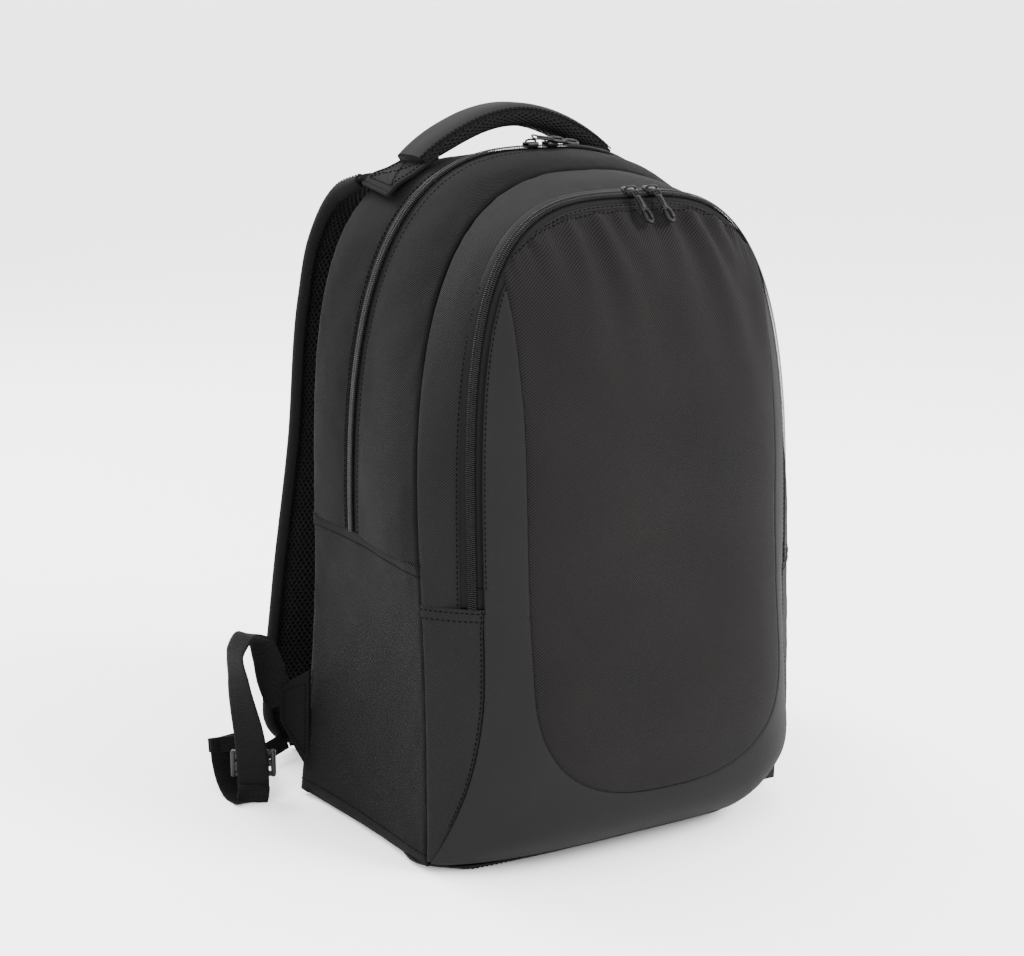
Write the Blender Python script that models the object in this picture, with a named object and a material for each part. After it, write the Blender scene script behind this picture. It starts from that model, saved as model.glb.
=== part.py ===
"""School backpack, as separate named pieces. Blender 4.5, metres, +Z up.

The bag's front faces -Y and its shoulder straps are behind it at +Y.
The origin is the centre of the flat base.
The shell is a row of arch-shaped seams, one behind the other, with a panel between each two.
"""

import math

import bmesh
import bpy
import numpy as np

FABRIC = 0.002  # thickness of a fabric panel
SEAM_GAP = 0.0024  # each panel stops this far short of a seam, clear of its neighbour
CLEAR = 0.0004  # gap between two pieces that lie on each other
BASE_Z = 0.0045  # lowest edge of the walls, just above the base panel
SHOULDER_Z = 0.20  # below this height the sides run straight down to the base
MAIN_END_Z = 0.215  # where the main zip ends on each side
POCKET_END_Z = 0.186  # where the front pocket's zip ends
FOLD_Z = 0.120  # below this height the front never creases
FLAP_Z = 0.2125  # above this height the front panel is the pocket's flap
SIDE_FOLD_Z = 0.142  # lowest point of the crease in each side wall
TAPE = 0.0095  # width of one half of a zip: tape and coil
SPLIT = 0.0006  # half the gap between the two halves of a zip
ZIP_THICKNESS = 0.0012

BACK_Y = 0.090
HEIGHTS = (0.0, 0.23, 0.46)  # the heights at which a seam's depth is given


class Seam:
    """An arch-shaped seam: a superellipse above SHOULDER_Z, with sides that run down to a foot."""

    def __init__(self, width, foot, top, power, depths):
        self.width = width
        self.foot = foot
        self.top = top
        self.power = power
        self.depths = depths

    def y(self, z):
        return through(list(zip(HEIGHTS, self.depths)), z, 2)

    def x(self, z):
        """Half width at height z."""
        if z <= SHOULDER_Z:
            share = z / SHOULDER_Z
            return self.foot + (self.width - self.foot) * math.sin(share * math.pi / 2)
        share = min((z - SHOULDER_Z) / (self.top - SHOULDER_Z), 1.0)
        return self.width * (1 - share**self.power) ** (1 / self.power)

    def z(self, x):
        """Height of the arch at distance x from the middle."""
        share = abs(x) / self.width
        rise = (1 - share**self.power) ** (1 / self.power)
        return SHOULDER_Z + (self.top - SHOULDER_Z) * rise

    def point(self, z, side):
        return np.array((side * self.x(z), self.y(z), z))

    def arch(self, start_z, count):
        """Evenly spaced points from start_z on the left, over the top, to start_z on the right."""
        half = []
        if start_z < SHOULDER_Z:
            half = [(-self.x(z), z) for z in np.linspace(start_z, SHOULDER_Z, 20)]
        share = max(start_z - SHOULDER_Z, 0.0) / (self.top - SHOULDER_Z)
        first = math.asin(share ** (self.power / 2))
        for angle in np.linspace(first, math.pi / 2, 200):
            x = -self.width * math.cos(angle) ** (2 / self.power)
            z = SHOULDER_Z + (self.top - SHOULDER_Z) * math.sin(angle) ** (2 / self.power)
            half.append((x, z))
        half = np.array(half)
        whole = np.vstack([half, half[-2::-1] * (-1, 1)])
        along = np.concatenate([[0], np.cumsum(np.hypot(*np.diff(whole, axis=0).T))])
        wanted = np.linspace(0, along[-1], count)
        xs = np.interp(wanted, along, whole[:, 0])
        zs = np.interp(wanted, along, whole[:, 1])
        return np.array([(x, self.y(z), z) for x, z in zip(xs, zs)])


def through(points, at, degree=3):
    """The smooth curve through a few (position, value) points, read at one position."""
    positions = [p[0] for p in points]
    values = [p[1] for p in points]
    if degree == 2:
        return float(np.polyval(np.polyfit(positions, values, 2), at))
    slopes = np.gradient(values, positions)
    i = int(np.clip(np.searchsorted(positions, at) - 1, 0, len(points) - 2))
    width = positions[i + 1] - positions[i]
    t = min(max((at - positions[i]) / width, 0.0), 1.0)
    bend = 3 * t**2 - 2 * t**3
    return float(
        values[i] * (1 - bend)
        + values[i + 1] * bend
        + slopes[i] * width * (t**3 - 2 * t**2 + t)
        + slopes[i + 1] * width * (t**3 - t**2)
    )


BACK = Seam(0.149, 0.163, 0.466, 3.6, (BACK_Y, BACK_Y, BACK_Y))
MAIN = Seam(0.148, 0.158, 0.475, 2.9, (0.022, 0.0335, 0.028))
MIDDLE = Seam(0.153, 0.153, 0.464, 2.5, (-0.077, -0.070, -0.028))
POCKET = Seam(0.128, 0.140, 0.451, 3.3, (-0.097, -0.099, -0.0815))
# The front panel's middle line, as (height, depth) points.
FRONT_LINE = (
    (0.0, -0.094),
    (0.02, -0.125),
    (0.08, -0.149),
    (0.20, -0.143),
    (0.34, -0.133),
    (0.42, -0.109),
    (0.451, -0.083),
)
# The front panel's lower side edge, up to the pocket zip's end: (height, half width, depth).
FRONT_EDGE = (
    (0.0, 0.1525, -0.078),
    (0.02, 0.1475, -0.088),
    (0.06, 0.1375, -0.099),
    (0.12, 0.130, -0.101),
    (POCKET_END_Z, 0.128, -0.0985),
    (FLAP_Z, 0.1272, -0.0985),
)
FRONT_CROWN = 4.0  # how square the front panel's crown is across its width


def colour_material(name, colour, roughness, metallic=0.0):
    material = bpy.data.materials.new(name)
    material.use_nodes = True
    shader = material.node_tree.nodes["Principled BSDF"]
    shader.inputs["Base Color"].default_value = (*colour, 1.0)
    shader.inputs["Roughness"].default_value = roughness
    shader.inputs["Metallic"].default_value = metallic
    return material


def add(name, mesh_data, material, origin=(0, 0, 0)):
    """Makes an object of (points, faces), with its origin at the joint that it turns on."""
    points, faces = mesh_data
    mesh = bpy.data.meshes.new(name)
    mesh.from_pydata([tuple(np.array(p, float) - np.array(origin, float)) for p in points], [], faces)
    build = bmesh.new()
    build.from_mesh(mesh)
    bmesh.ops.recalc_face_normals(build, faces=build.faces)
    if build.calc_volume(signed=True) < 0:
        bmesh.ops.reverse_faces(build, faces=build.faces)
    build.to_mesh(mesh)
    build.free()
    mesh.shade_smooth()
    mesh.set_sharp_from_angle(angle=math.radians(40))
    mesh.materials.append(material)
    piece = bpy.data.objects.new(name, mesh)
    piece.location = origin
    bpy.context.scene.collection.objects.link(piece)
    return piece


def normals_of(grid):
    """Unit normals of a grid of points, rows by columns."""
    along = np.gradient(grid, axis=0)
    across = np.gradient(grid, axis=1)
    normals = np.cross(along, across)
    return normals / np.maximum(np.linalg.norm(normals, axis=2, keepdims=True), 1e-12)


def sheet(grid, thickness=FABRIC, inward=(0, 0.0, 0.2)):
    """A closed sheet: its outer surface is the grid, its inner one lies towards the point inward."""
    grid = np.array(grid, float)
    normals = normals_of(grid)
    if (normals * (np.array(inward) - grid)).sum() < 0:
        normals = -normals
    return closed_pair(grid, grid + normals * thickness)


def closed_pair(outer, inner):
    """The closed solid between two grids of the same shape."""
    rows, columns = outer.shape[:2]
    points = np.concatenate([outer.reshape(-1, 3), inner.reshape(-1, 3)])
    shift = rows * columns
    faces = []
    for r in range(rows - 1):
        for c in range(columns - 1):
            a = r * columns + c
            quad = (a, a + 1, a + columns + 1, a + columns)
            faces.append(quad)
            faces.append(tuple(shift + i for i in reversed(quad)))
    border = [c for c in range(columns)]
    border += [r * columns + columns - 1 for r in range(1, rows)]
    border += [(rows - 1) * columns + c for c in range(columns - 2, -1, -1)]
    border += [r * columns for r in range(rows - 2, 0, -1)]
    for a, b in zip(border, border[1:] + border[:1]):
        faces.append((b, a, shift + a, shift + b))
    return points, faces


def tube(rings):
    """A closed solid through rings of points, with a flat cap at each end."""
    rings = np.array(rings, float)
    count = rings.shape[1]
    points = rings.reshape(-1, 3)
    faces = [tuple(range(count))[::-1]]
    for r in range(len(rings) - 1):
        for c in range(count):
            d = (c + 1) % count
            faces.append((r * count + c, r * count + d, (r + 1) * count + d, (r + 1) * count + c))
    faces.append(tuple((len(rings) - 1) * count + c for c in range(count)))
    return points, faces


def between(first, second, start_gap, end_gap, steps, crown=0.0):
    """Rows of points from one seam to another, stopping short of both, with an outward crown."""
    span = second - first
    length = np.linalg.norm(span, axis=1, keepdims=True)
    start = start_gap / length
    end = 1 - end_gap / length
    outward = (first + second) / 2 - np.array((0, 0, SHOULDER_Z))
    outward[:, 1] = 0
    outward /= np.linalg.norm(outward, axis=1, keepdims=True)
    rows = []
    for share in np.linspace(0, 1, steps):
        at = start + (end - start) * share
        rows.append(first + span * at + outward * crown * 4 * share * (1 - share))
    return np.array(rows)


def clear_materials_and_objects():
    for item in list(bpy.data.objects):
        bpy.data.objects.remove(item, do_unlink=True)


def make_materials():
    return {
        "twill": colour_material("twill", (0.030, 0.030, 0.031), 0.85),
        "front_twill": colour_material("front_twill", (0.042, 0.040, 0.040), 0.85),
        "fine_fabric": colour_material("fine_fabric", (0.034, 0.034, 0.035), 0.8),
        "mesh_fabric": colour_material("mesh_fabric", (0.014, 0.014, 0.014), 0.95),
        "lining": colour_material("lining", (0.022, 0.022, 0.023), 0.7),
        "webbing": colour_material("webbing", (0.018, 0.018, 0.018), 0.75),
        "zip": colour_material("zip", (0.016, 0.016, 0.016), 0.6),
        "black_metal": colour_material("black_metal", (0.02, 0.02, 0.02), 0.25, 0.9),
        "black_plastic": colour_material("black_plastic", (0.02, 0.02, 0.021), 0.45),
        "board": colour_material("board", (0.10, 0.10, 0.10), 0.5),
    }


# ---------------------------------------------------------------- the fixed part of the shell

ARCH_POINTS = 29  # points round each arch
PAD = 0.012  # thickness of the padded back
BOARD = 0.0015  # thickness of the stiffening boards


def flat_arch(seam, y_near, y_far, inset, base_z):
    """A flat plate with a seam's outline, between two depths."""
    outline = seam.arch(base_z, ARCH_POINTS)
    outline[:, 0] -= np.sign(outline[:, 0]) * inset * np.abs(outline[:, 0]) / seam.width
    outline[:, 2] -= inset * np.clip((outline[:, 2] - SHOULDER_Z) / (seam.top - SHOULDER_Z), 0, 1)
    near = outline.copy()
    near[:, 1] = y_near
    far = outline.copy()
    far[:, 1] = y_far
    return tube([near, far])


def back_panel(materials):
    plate = flat_arch(BACK, BACK_Y - PAD, BACK_Y, SEAM_GAP + FABRIC, BASE_Z)
    add("back_panel", plate, materials["mesh_fabric"])
    board_y = BACK_Y - PAD - CLEAR
    board = flat_arch(BACK, board_y - BOARD, board_y, 0.012, 0.010)
    add("back_board", board, materials["board"])


def base_outline(inset):
    """The base's outline from above, from the back left corner round to the back right one."""
    side = (
        (-0.163, BACK_Y + 0.002),
        (-0.158, 0.020),
        (-0.1545, -0.060),
        (-0.150, -0.080),
        (-0.120, -0.091),
        (0.0, -0.0955),
    )
    left = [(min(x + inset, 0.0), y - math.copysign(inset, y)) for x, y in side]
    return left + [(-x, y) for x, y in left[-2::-1]]


def slab(outline, low_z, high_z):
    return tube([[(x, y, low_z) for x, y in outline], [(x, y, high_z) for x, y in outline]])


def base(materials):
    add("base_panel", slab(base_outline(0.001), 0.0, 0.003), materials["fine_fabric"])
    board = slab(base_outline(0.022), 0.003 + CLEAR, 0.003 + CLEAR + BOARD)
    add("base_board", board, materials["board"])


def rear_gusset(materials):
    """The band round the back, from the back seam to the main zip, above the zip's ends."""
    grid = between(
        BACK.arch(MAIN_END_Z + CLEAR, ARCH_POINTS),
        MAIN.arch(MAIN_END_Z + CLEAR, ARCH_POINTS),
        CLEAR,
        TAPE + SPLIT + CLEAR,
        3,
    )
    add("rear_gusset", sheet(grid), materials["twill"])


def side_profile(share, z):
    """Half width and depth of the side wall, at a share of the way from back to middle seam."""
    y = BACK.y(z) + (MIDDLE.y(z) - BACK.y(z)) * share
    split = (BACK.y(z) - MAIN.y(z)) / (BACK.y(z) - MIDDLE.y(z))
    x = through(((0, BACK.x(z)), (split, MAIN.x(z)), (1, MIDDLE.x(z))), share, 2)
    return x, y


HINGE_SHARE = 0.36  # how far forward on the side the main zip's end is
REAR_EDGE = 0.002  # share of the side's depth that the walls stop short of the back seam
FRONT_STOP = 0.985  # and short of the middle seam


def fold_line(share):
    """Height of the lower edge of the crease in the side wall."""
    forward = max(0.0, (share - HINGE_SHARE) / (1 - HINGE_SHARE))
    return MAIN_END_Z - CLEAR + (SIDE_FOLD_Z - MAIN_END_Z) * forward


def side_walls(materials):
    shares = np.linspace(REAR_EDGE, FRONT_STOP, 9)
    for side, word in ((-1, "left"), (1, "right")):
        grid = []
        for share in shares:
            column = []
            for z in np.linspace(BASE_Z, fold_line(share), 5):
                x, y = side_profile(share, z)
                column.append((side * x, y, z))
            grid.append(column)
        add(f"side_wall_{word}", sheet(grid), materials["twill"])


def side_folds(materials):
    """The part of each side wall that creases when the top of the bag leans forward."""
    for side, word in ((-1, "left"), (1, "right")):
        grid = []
        for share in np.linspace(HINGE_SHARE + 0.08, FRONT_STOP, 5):
            column = []
            for z in np.linspace(fold_line(share) + CLEAR, MAIN_END_Z - CLEAR, 3):
                x, y = side_profile(share, z)
                column.append((side * x, y, z))
            grid.append(column)
        add(f"side_fold_{word}", sheet(grid), materials["twill"])


def edge_point(z, side):
    """The front panel's lower side edge at height z."""
    x = through([(p[0], p[1]) for p in FRONT_EDGE], z)
    y = through([(p[0], p[2]) for p in FRONT_EDGE], z)
    return np.array((side * x, y, z))


def lower_gusset(low_z, high_z, side, steps):
    """The tapering gusset between the middle seam and the front panel, below the pocket zip."""
    seam = np.array([MIDDLE.point(z, side) for z in np.linspace(low_z, high_z, steps)])
    edge = np.array([edge_point(z, side) for z in np.linspace(low_z, high_z, steps)])
    return sheet(between(seam, edge, SEAM_GAP, SEAM_GAP + 0.0006, 3))


def lower_gussets(materials):
    for side, word in ((-1, "left"), (1, "right")):
        add(f"lower_gusset_{word}", lower_gusset(0.030, FOLD_Z, side, 6), materials["twill"])
        fold = lower_gusset(FOLD_Z + 2 * CLEAR, POCKET_END_Z - CLEAR, side, 4)
        add(f"gusset_fold_{word}", fold, materials["twill"])


def front_point(share, z, edge):
    """A point of the front panel, at a share of its half width; edge is its right edge."""
    crown = 1 - abs(share) ** FRONT_CROWN
    middle = through(FRONT_LINE, z)
    return (share * edge[0], edge[1] + (middle - edge[1]) * crown, z)


def front_band(low_z, high_z, steps, inset):
    """Rows of the front panel between two heights below the flap."""
    grid = []
    for z in np.linspace(low_z, high_z, steps):
        edge = edge_point(z, 1)
        grid.append([front_point(share, z, edge - (inset, 0, 0)) for share in np.linspace(-1, 1, 17)])
    return sheet(grid)


def lower_front(materials):
    add("front_panel_lower", front_band(BASE_Z + CLEAR, FOLD_Z, 8, 0.002), materials["fine_fabric"])
    fold = front_band(FOLD_Z + 2 * CLEAR, FLAP_Z - CLEAR, 7, 0.002)
    add("front_fold", fold, materials["fine_fabric"])


DIVIDER_SETBACK = 0.003  # the divider hangs this far behind the middle seam
DIVIDER_INSET = 0.008


def divider_plate(low_z, high_z, steps):
    grid = []
    for z in np.linspace(low_z, high_z, steps):
        half = MIDDLE.x(z) - DIVIDER_INSET
        y = MIDDLE.y(z) + DIVIDER_SETBACK
        grid.append([(half * share, y, z) for share in np.linspace(-1, 1, 7)])
    return sheet(grid, FABRIC / 2, (0, BACK_Y, SHOULDER_Z))


def dividers(materials):
    add("divider_lower", divider_plate(0.009, SIDE_FOLD_Z, 3), materials["lining"])
    add("divider_fold", divider_plate(SIDE_FOLD_Z + CLEAR, MAIN_END_Z - CLEAR, 2), materials["lining"])
    add("divider_upper", divider_plate(MAIN_END_Z + CLEAR, 0.450, 9), materials["lining"], MAIN_HINGE)


# ---------------------------------------------------------------- the parts that open

MAIN_HINGE = (0.0, 0.0335, MAIN_END_Z)  # the line between the main zip's two ends
POCKET_HINGE = (0.0, -0.120, FLAP_Z)  # the crease that the pocket's flap folds about


def middle_gusset(materials):
    """The band from the main zip to the middle seam."""
    grid = between(
        MAIN.arch(MAIN_END_Z + CLEAR, ARCH_POINTS),
        MIDDLE.arch(MAIN_END_Z + CLEAR, ARCH_POINTS),
        TAPE + SPLIT + CLEAR,
        SEAM_GAP,
        4,
        0.003,
    )
    add("middle_gusset", sheet(grid), materials["twill"], MAIN_HINGE)


def pocket_gusset(materials):
    """The band from the middle seam to the front pocket's zip."""
    grid = between(
        MIDDLE.arch(POCKET_END_Z + 2 * CLEAR, ARCH_POINTS),
        POCKET.arch(POCKET_END_Z + 2 * CLEAR, ARCH_POINTS),
        SEAM_GAP,
        TAPE + SPLIT + CLEAR,
        3,
    )
    add("pocket_gusset", sheet(grid), materials["twill"], MAIN_HINGE)


def tape_grid(seam, toward, start_z, near):
    """A strip of one seam's zip: near is the distance of its inner edge from the seam's line."""
    own = seam.arch(start_z, ARCH_POINTS)
    other = toward.arch(start_z, ARCH_POINTS)
    step = other - own
    step /= np.linalg.norm(step, axis=1, keepdims=True)
    return np.array([own + step * near, own + step * (near + TAPE - CLEAR)])


def front_inner(count):
    """Points of the front panel a little inside the pocket zip, matching the zip's own points."""
    own = POCKET.arch(FLAP_Z + CLEAR, count)
    inner = own.copy()
    for i, (x, y, z) in enumerate(own):
        inner[i] = (x * 0.90, y - 0.010, z - 0.006 * max(0.0, (z - SHOULDER_Z) / 0.25))
    return own, inner


def zips(materials):
    start = MAIN_END_Z + CLEAR
    rear = tape_grid(MAIN, BACK, start, SPLIT)
    add("main_zip_rear", sheet(rear, ZIP_THICKNESS), materials["zip"])
    front = tape_grid(MAIN, MIDDLE, start, SPLIT)
    add("main_zip_front", sheet(front, ZIP_THICKNESS), materials["zip"], MAIN_HINGE)
    rear = tape_grid(POCKET, MIDDLE, POCKET_END_Z + 2 * CLEAR, SPLIT)
    add("pocket_zip_rear", sheet(rear, ZIP_THICKNESS), materials["zip"], MAIN_HINGE)
    own, inner = front_inner(ARCH_POINTS)
    step = inner - own
    step /= np.linalg.norm(step, axis=1, keepdims=True)
    front = np.array([own + step * 2 * SPLIT, own + step * (TAPE - CLEAR)])
    add("pocket_zip_front", sheet(front, ZIP_THICKNESS), materials["zip"], POCKET_HINGE)


def front_flap(materials):
    """The front panel above its crease."""
    rows = []
    low = FLAP_Z + CLEAR
    inset = 0.0105
    top = POCKET.top - 0.012
    for angle in np.linspace(0, math.pi / 2 - 0.10, 15):
        z = low + (top - low) * math.sin(angle)
        edge = np.array((POCKET.x(z + 0.008) - inset, POCKET.y(z) - inset, z))
        rows.append([front_point(share, z, edge) for share in np.linspace(-1, 1, 17)])
    add("front_panel_upper", sheet(rows), materials["front_twill"], POCKET_HINGE)


# ---------------------------------------------------------------- sliders and pulls

SLIDER_LENGTH = 0.0115
SLIDER_WIDTH = 0.0088
SLIDER_HEIGHT = 0.0034
SLIDER_LIFT = 0.0012  # clearance between a slider and the zip that it runs on
BAIL_HEIGHT = 0.0030
PULL_LENGTH = 0.0270
PULL_WIDTH = 0.0052
PULL_THICKNESS = 0.0016
MAIN_SLIDERS = (-0.006, 0.010)  # distance of each slider from the middle
POCKET_SLIDERS = (0.003, 0.020)


def frame_at(place, along, up):
    """Rows of a rotation: along, across, up."""
    along = np.array(along, float) / np.linalg.norm(along)
    up = np.array(up, float)
    up = up - along * (along @ up)
    up /= np.linalg.norm(up)
    return np.array(place, float), along, np.cross(up, along), up


def block(frame, lows, highs, chamfer):
    """A chamfered block in a local frame, as a tube along its first axis."""
    place, along, across, up = frame
    (a0, b0, c0), (a1, b1, c1) = lows, highs
    section = [
        (b0 + chamfer, c0), (b1 - chamfer, c0), (b1, c0 + chamfer), (b1, c1 - chamfer),
        (b1 - chamfer, c1), (b0 + chamfer, c1), (b0, c1 - chamfer), (b0, c0 + chamfer),
    ]
    rings = [[place + along * a + across * b + up * c for b, c in section] for a in (a0, a1)]
    return tube(rings)


def slider(name, frame, origin, materials):
    low = SLIDER_LIFT
    high = SLIDER_LIFT + SLIDER_HEIGHT
    half = SLIDER_LENGTH / 2
    wide = SLIDER_WIDTH / 2
    body = block(frame, (-half, -wide, low), (half, wide, high), 0.001)
    add(name, body, materials["black_metal"], origin)


def pull(name, hinge, along, up, materials):
    """A bar pull: a flat bar that turns about the middle of one end, at its slider's bail."""
    wide = PULL_WIDTH / 2
    thick = PULL_THICKNESS / 2
    frame = frame_at(hinge, along, up)
    bar = block(frame, (0.0, -wide, -thick), (PULL_LENGTH, wide, thick), 0.0005)
    add(name, bar, materials["black_metal"], hinge)


def arc_centre(seam):
    """Height of the centre of the circle that the top of a seam follows."""
    drop = seam.top - seam.z(TOP_TRAVEL_X)
    radius = (TOP_TRAVEL_X**2 + drop**2) / (2 * drop)
    return seam.top - radius


TOP_TRAVEL_X = 0.060  # how far from the middle a slider runs on the top of the arch


def top_frame(seam, x, lean):
    """Frame of a slider on top of an arch: along the zip, and up square to it, leaning forward."""
    place = np.array((x, seam.y(seam.z(x)), seam.z(x)))
    rise = (seam.z(x + 0.004) - seam.z(x - 0.004)) / 0.008
    along = (1.0, 0.0, rise)
    up = (0.0, -math.sin(lean), math.cos(lean))
    return frame_at(place, along, up)


POCKET_LEAN = math.radians(22)  # the pocket's zip lies on the corner between the top and the front
PULL_SLOPE = math.radians(3.5)
PULL_HANG = (0.10, -0.66, -0.75)  # the pocket's pulls hang down along the front panel
PULL_FACE = np.array((0.0, -0.78, 0.62))  # the way that a hanging pull's flat side looks


def main_sliders(materials):
    centre = arc_centre(MAIN)
    for x, letter, rise, shift in zip(MAIN_SLIDERS, "ab", (0.0024, 0.0), (-0.0031, 0.0031)):
        frame = top_frame(MAIN, x, 0.0)
        origin = (0.0, MAIN.y(MAIN.top), centre)
        slider(f"main_slider_{letter}", frame, origin, materials)
        place, along, across, up = frame
        height = SLIDER_LIFT + SLIDER_HEIGHT + CLEAR + PULL_THICKNESS / 2 + rise
        hinge = place + up * height + across * shift
        slope = along * math.cos(PULL_SLOPE) - up * math.sin(PULL_SLOPE)
        pull(f"main_pull_{letter}", hinge, slope, up, materials)


def pocket_sliders(materials):
    centre = arc_centre(POCKET)
    for x, letter in zip(POCKET_SLIDERS, "ab"):
        frame = top_frame(POCKET, x, POCKET_LEAN)
        origin = (0.0, POCKET.y(POCKET.top), centre)
        slider(f"pocket_slider_{letter}", frame, origin, materials)
        place, along, across, up = frame
        edge = place + up * (SLIDER_LIFT + SLIDER_HEIGHT) - across * (SLIDER_WIDTH / 2 + CLEAR)
        hinge = edge + PULL_FACE * PULL_THICKNESS / 2
        pull(f"pocket_pull_{letter}", hinge, PULL_HANG, PULL_FACE, materials)


# ---------------------------------------------------------------- the handle

HANDLE_Y = 0.070
HANDLE_PIVOT_Z = 0.4700
HANDLE_SPAN = 0.082  # half the distance between the grip's ends
HANDLE_RISE = 0.0265  # height of the grip's middle line over its ends
GRIP_WIDTH = 0.036
GRIP_THICKNESS = 0.015
GRIP_TAPER = 0.25  # how much thinner the grip is at its ends
HANDLE_END_X = (0.0845, 0.1075)  # the part of the gusset that each end is sewn to
HANDLE_END_Y = (0.052, 0.088)
HANDLE_END_LIFT = 0.0072  # height of the end's top over the seams' surface
HANDLE_END_THICKNESS = 0.003


def rounded_section(width, thickness, count=10):
    """A flattened oval section, as (across, up) points."""
    points = []
    for i in range(count):
        angle = 2 * math.pi * (i + 0.5) / count
        c, s = math.cos(angle), math.sin(angle)
        across = width / 2 * math.copysign(abs(c) ** 0.6, c)
        up = thickness / 2 * math.copysign(abs(s) ** 0.7, s)
        points.append((across, up))
    return points


def handle(materials):
    rings = []
    for share in np.linspace(-1, 1, 13):
        angle = share * math.pi / 2
        height = HANDLE_PIVOT_Z + HANDLE_RISE * math.cos(angle)
        middle = np.array((share * HANDLE_SPAN, HANDLE_Y, height))
        slope = -HANDLE_RISE * math.sin(angle) * math.pi / 2 / HANDLE_SPAN
        up = np.array((-slope, 0, 1.0)) / math.hypot(slope, 1)
        thin = 1 - GRIP_TAPER * abs(share) ** 4
        section = rounded_section(GRIP_WIDTH * (1 - 0.12 * share**2), GRIP_THICKNESS * thin)
        rings.append([middle + up * c + np.array((0, b, 0)) for b, c in section])
    origin = (0.0, HANDLE_Y, HANDLE_PIVOT_Z)
    add("handle_grip", tube(rings), materials["fine_fabric"], origin)
    for side, word in ((-1, "left"), (1, "right")):
        add(f"handle_end_{word}", handle_end(side), materials["twill"])


def handle_end(side):
    """The flat end of the handle, sewn down on the gusset beside the grip."""
    grid = []
    for x in np.linspace(*HANDLE_END_X, 5):
        row = []
        for y in np.linspace(*HANDLE_END_Y, 3):
            share = (BACK_Y - y) / (BACK_Y - MAIN.y(0.45))
            z = BACK.z(x) + (MAIN.z(x) - BACK.z(x)) * share + HANDLE_END_LIFT
            row.append((side * x, y, z))
        grid.append(row)
    return sheet(grid, HANDLE_END_THICKNESS)


# ---------------------------------------------------------------- the shoulder straps

STRAP_WIDTH = 0.064
STRAP_THICKNESS = 0.011
STRAP_HINGE_Y = 0.0935
STRAP_HINGE_Z = 0.4500
# The left strap's middle line, from the top seam to its round lower end: (across, depth, height).
STRAP_LINE = (
    (0.076, 0.097, 0.452),
    (0.082, 0.128, 0.437),
    (0.088, 0.150, 0.405),
    (0.092, 0.162, 0.360),
    (0.098, 0.173, 0.250),
    (0.112, 0.180, 0.130),
    (0.121, 0.182, 0.034),
    (0.122, 0.180, 0.012),
)
WEB_WIDTH = 0.025
WEB_THICKNESS = 0.0016
TAB_POINT = (0.1680, 0.1010, 0.0620)
# The webbing from the tab's point, up over a slack loop and down to the lock: (across, depth, height).
WEB_LINE = (
    (0.1700, 0.104, 0.068),
    (0.1765, 0.112, 0.087),
    (0.1790, 0.117, 0.104),
    (0.1840, 0.119, 0.118),
    (0.1930, 0.119, 0.123),
    (0.2020, 0.118, 0.114),
    (0.2030, 0.116, 0.090),
    (0.1965, 0.109, 0.040),
)
# The tail that comes out of the lock, turns on the floor and ends in a folded hem.
TAIL_LINE = (
    (0.1955, 0.106, 0.0150),
    (0.1970, 0.108, 0.0060),
    (0.1995, 0.116, 0.0025),
    (0.2025, 0.127, 0.0050),
    (0.2045, 0.136, 0.0170),
    (0.2055, 0.140, 0.0340),
)
LOCK_AT = (0.1955, 0.1085, 0.0270)
LOCK_HINGE = (0.1928, 0.1132, 0.0270)
# The ladder lock, from its centre: half its width and height, its slots' ends, and its bars' edges.
LOCK_WIDE = 0.0165
LOCK_TALL = 0.0100
LOCK_SLOT = 0.0130
LOCK_SLOT_TOP = 0.0065
LOCK_BAR = 0.0030
LOCK_THICKNESS = 0.0048
# The webbing from the strap's lower end to the lock's inner edge.
STUB_LINE = (
    (0.1450, 0.176, 0.010),
    (0.1580, 0.165, 0.011),
    (0.1760, 0.142, 0.019),
    (0.1880, 0.124, 0.026),
)


def curve_points(points, count):
    """Evenly spaced points on the smooth curve through a few points."""
    points = np.array(points, float)
    along = np.concatenate([[0], np.cumsum(np.linalg.norm(np.diff(points, axis=0), axis=1))])
    fine = np.linspace(0, along[-1], 300)
    smooth = np.array([[through(list(zip(along, points[:, k])), at) for k in range(3)] for at in fine])
    length = np.concatenate([[0], np.cumsum(np.linalg.norm(np.diff(smooth, axis=0), axis=1))])
    wanted = np.linspace(0, length[-1], count)
    return np.array([np.interp(wanted, length, smooth[:, k]) for k in range(3)]).T


def mirrored(points, side):
    """Points given for one side as distances from the middle, placed on the left or the right."""
    return np.array(points, float) * (side, 1, 1)


def ribbon(line, across, section):
    """Sweeps a section along a line. across is the direction of the section's width at each point."""
    directions = np.gradient(line, axis=0)
    rings = []
    for point, along, wide in zip(line, directions, across):
        along = along / np.linalg.norm(along)
        wide = np.array(wide, float) - along * (along @ np.array(wide, float))
        wide /= np.linalg.norm(wide)
        up = np.cross(along, wide)
        rings.append([point + wide * b + up * c for b, c in section(point)])
    return tube(rings)


def flat_section(width, thickness):
    w, t = width / 2, thickness / 2
    return [(-w, -t), (w, -t), (w, t), (-w, t)]


def strap(side, word, materials):
    line = mirrored(curve_points(STRAP_LINE, 17), side)
    hinge = (0.0, STRAP_HINGE_Y, STRAP_HINGE_Z)

    def section(point):
        end = max(0.0, 1 - point[2] / 0.030)  # the lower end rounds off
        root = max(0.0, 1 - (point[1] - 0.100) / 0.030)  # the sewn end is pressed thinner
        width = STRAP_WIDTH * (1 - 0.45 * end)
        return rounded_section(width, STRAP_THICKNESS * (1 - 0.35 * root), 8)

    body = ribbon(line, [(1, 0, 0)] * len(line), section)
    add(f"strap_{word}", body, materials["fine_fabric"], hinge)


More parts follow.
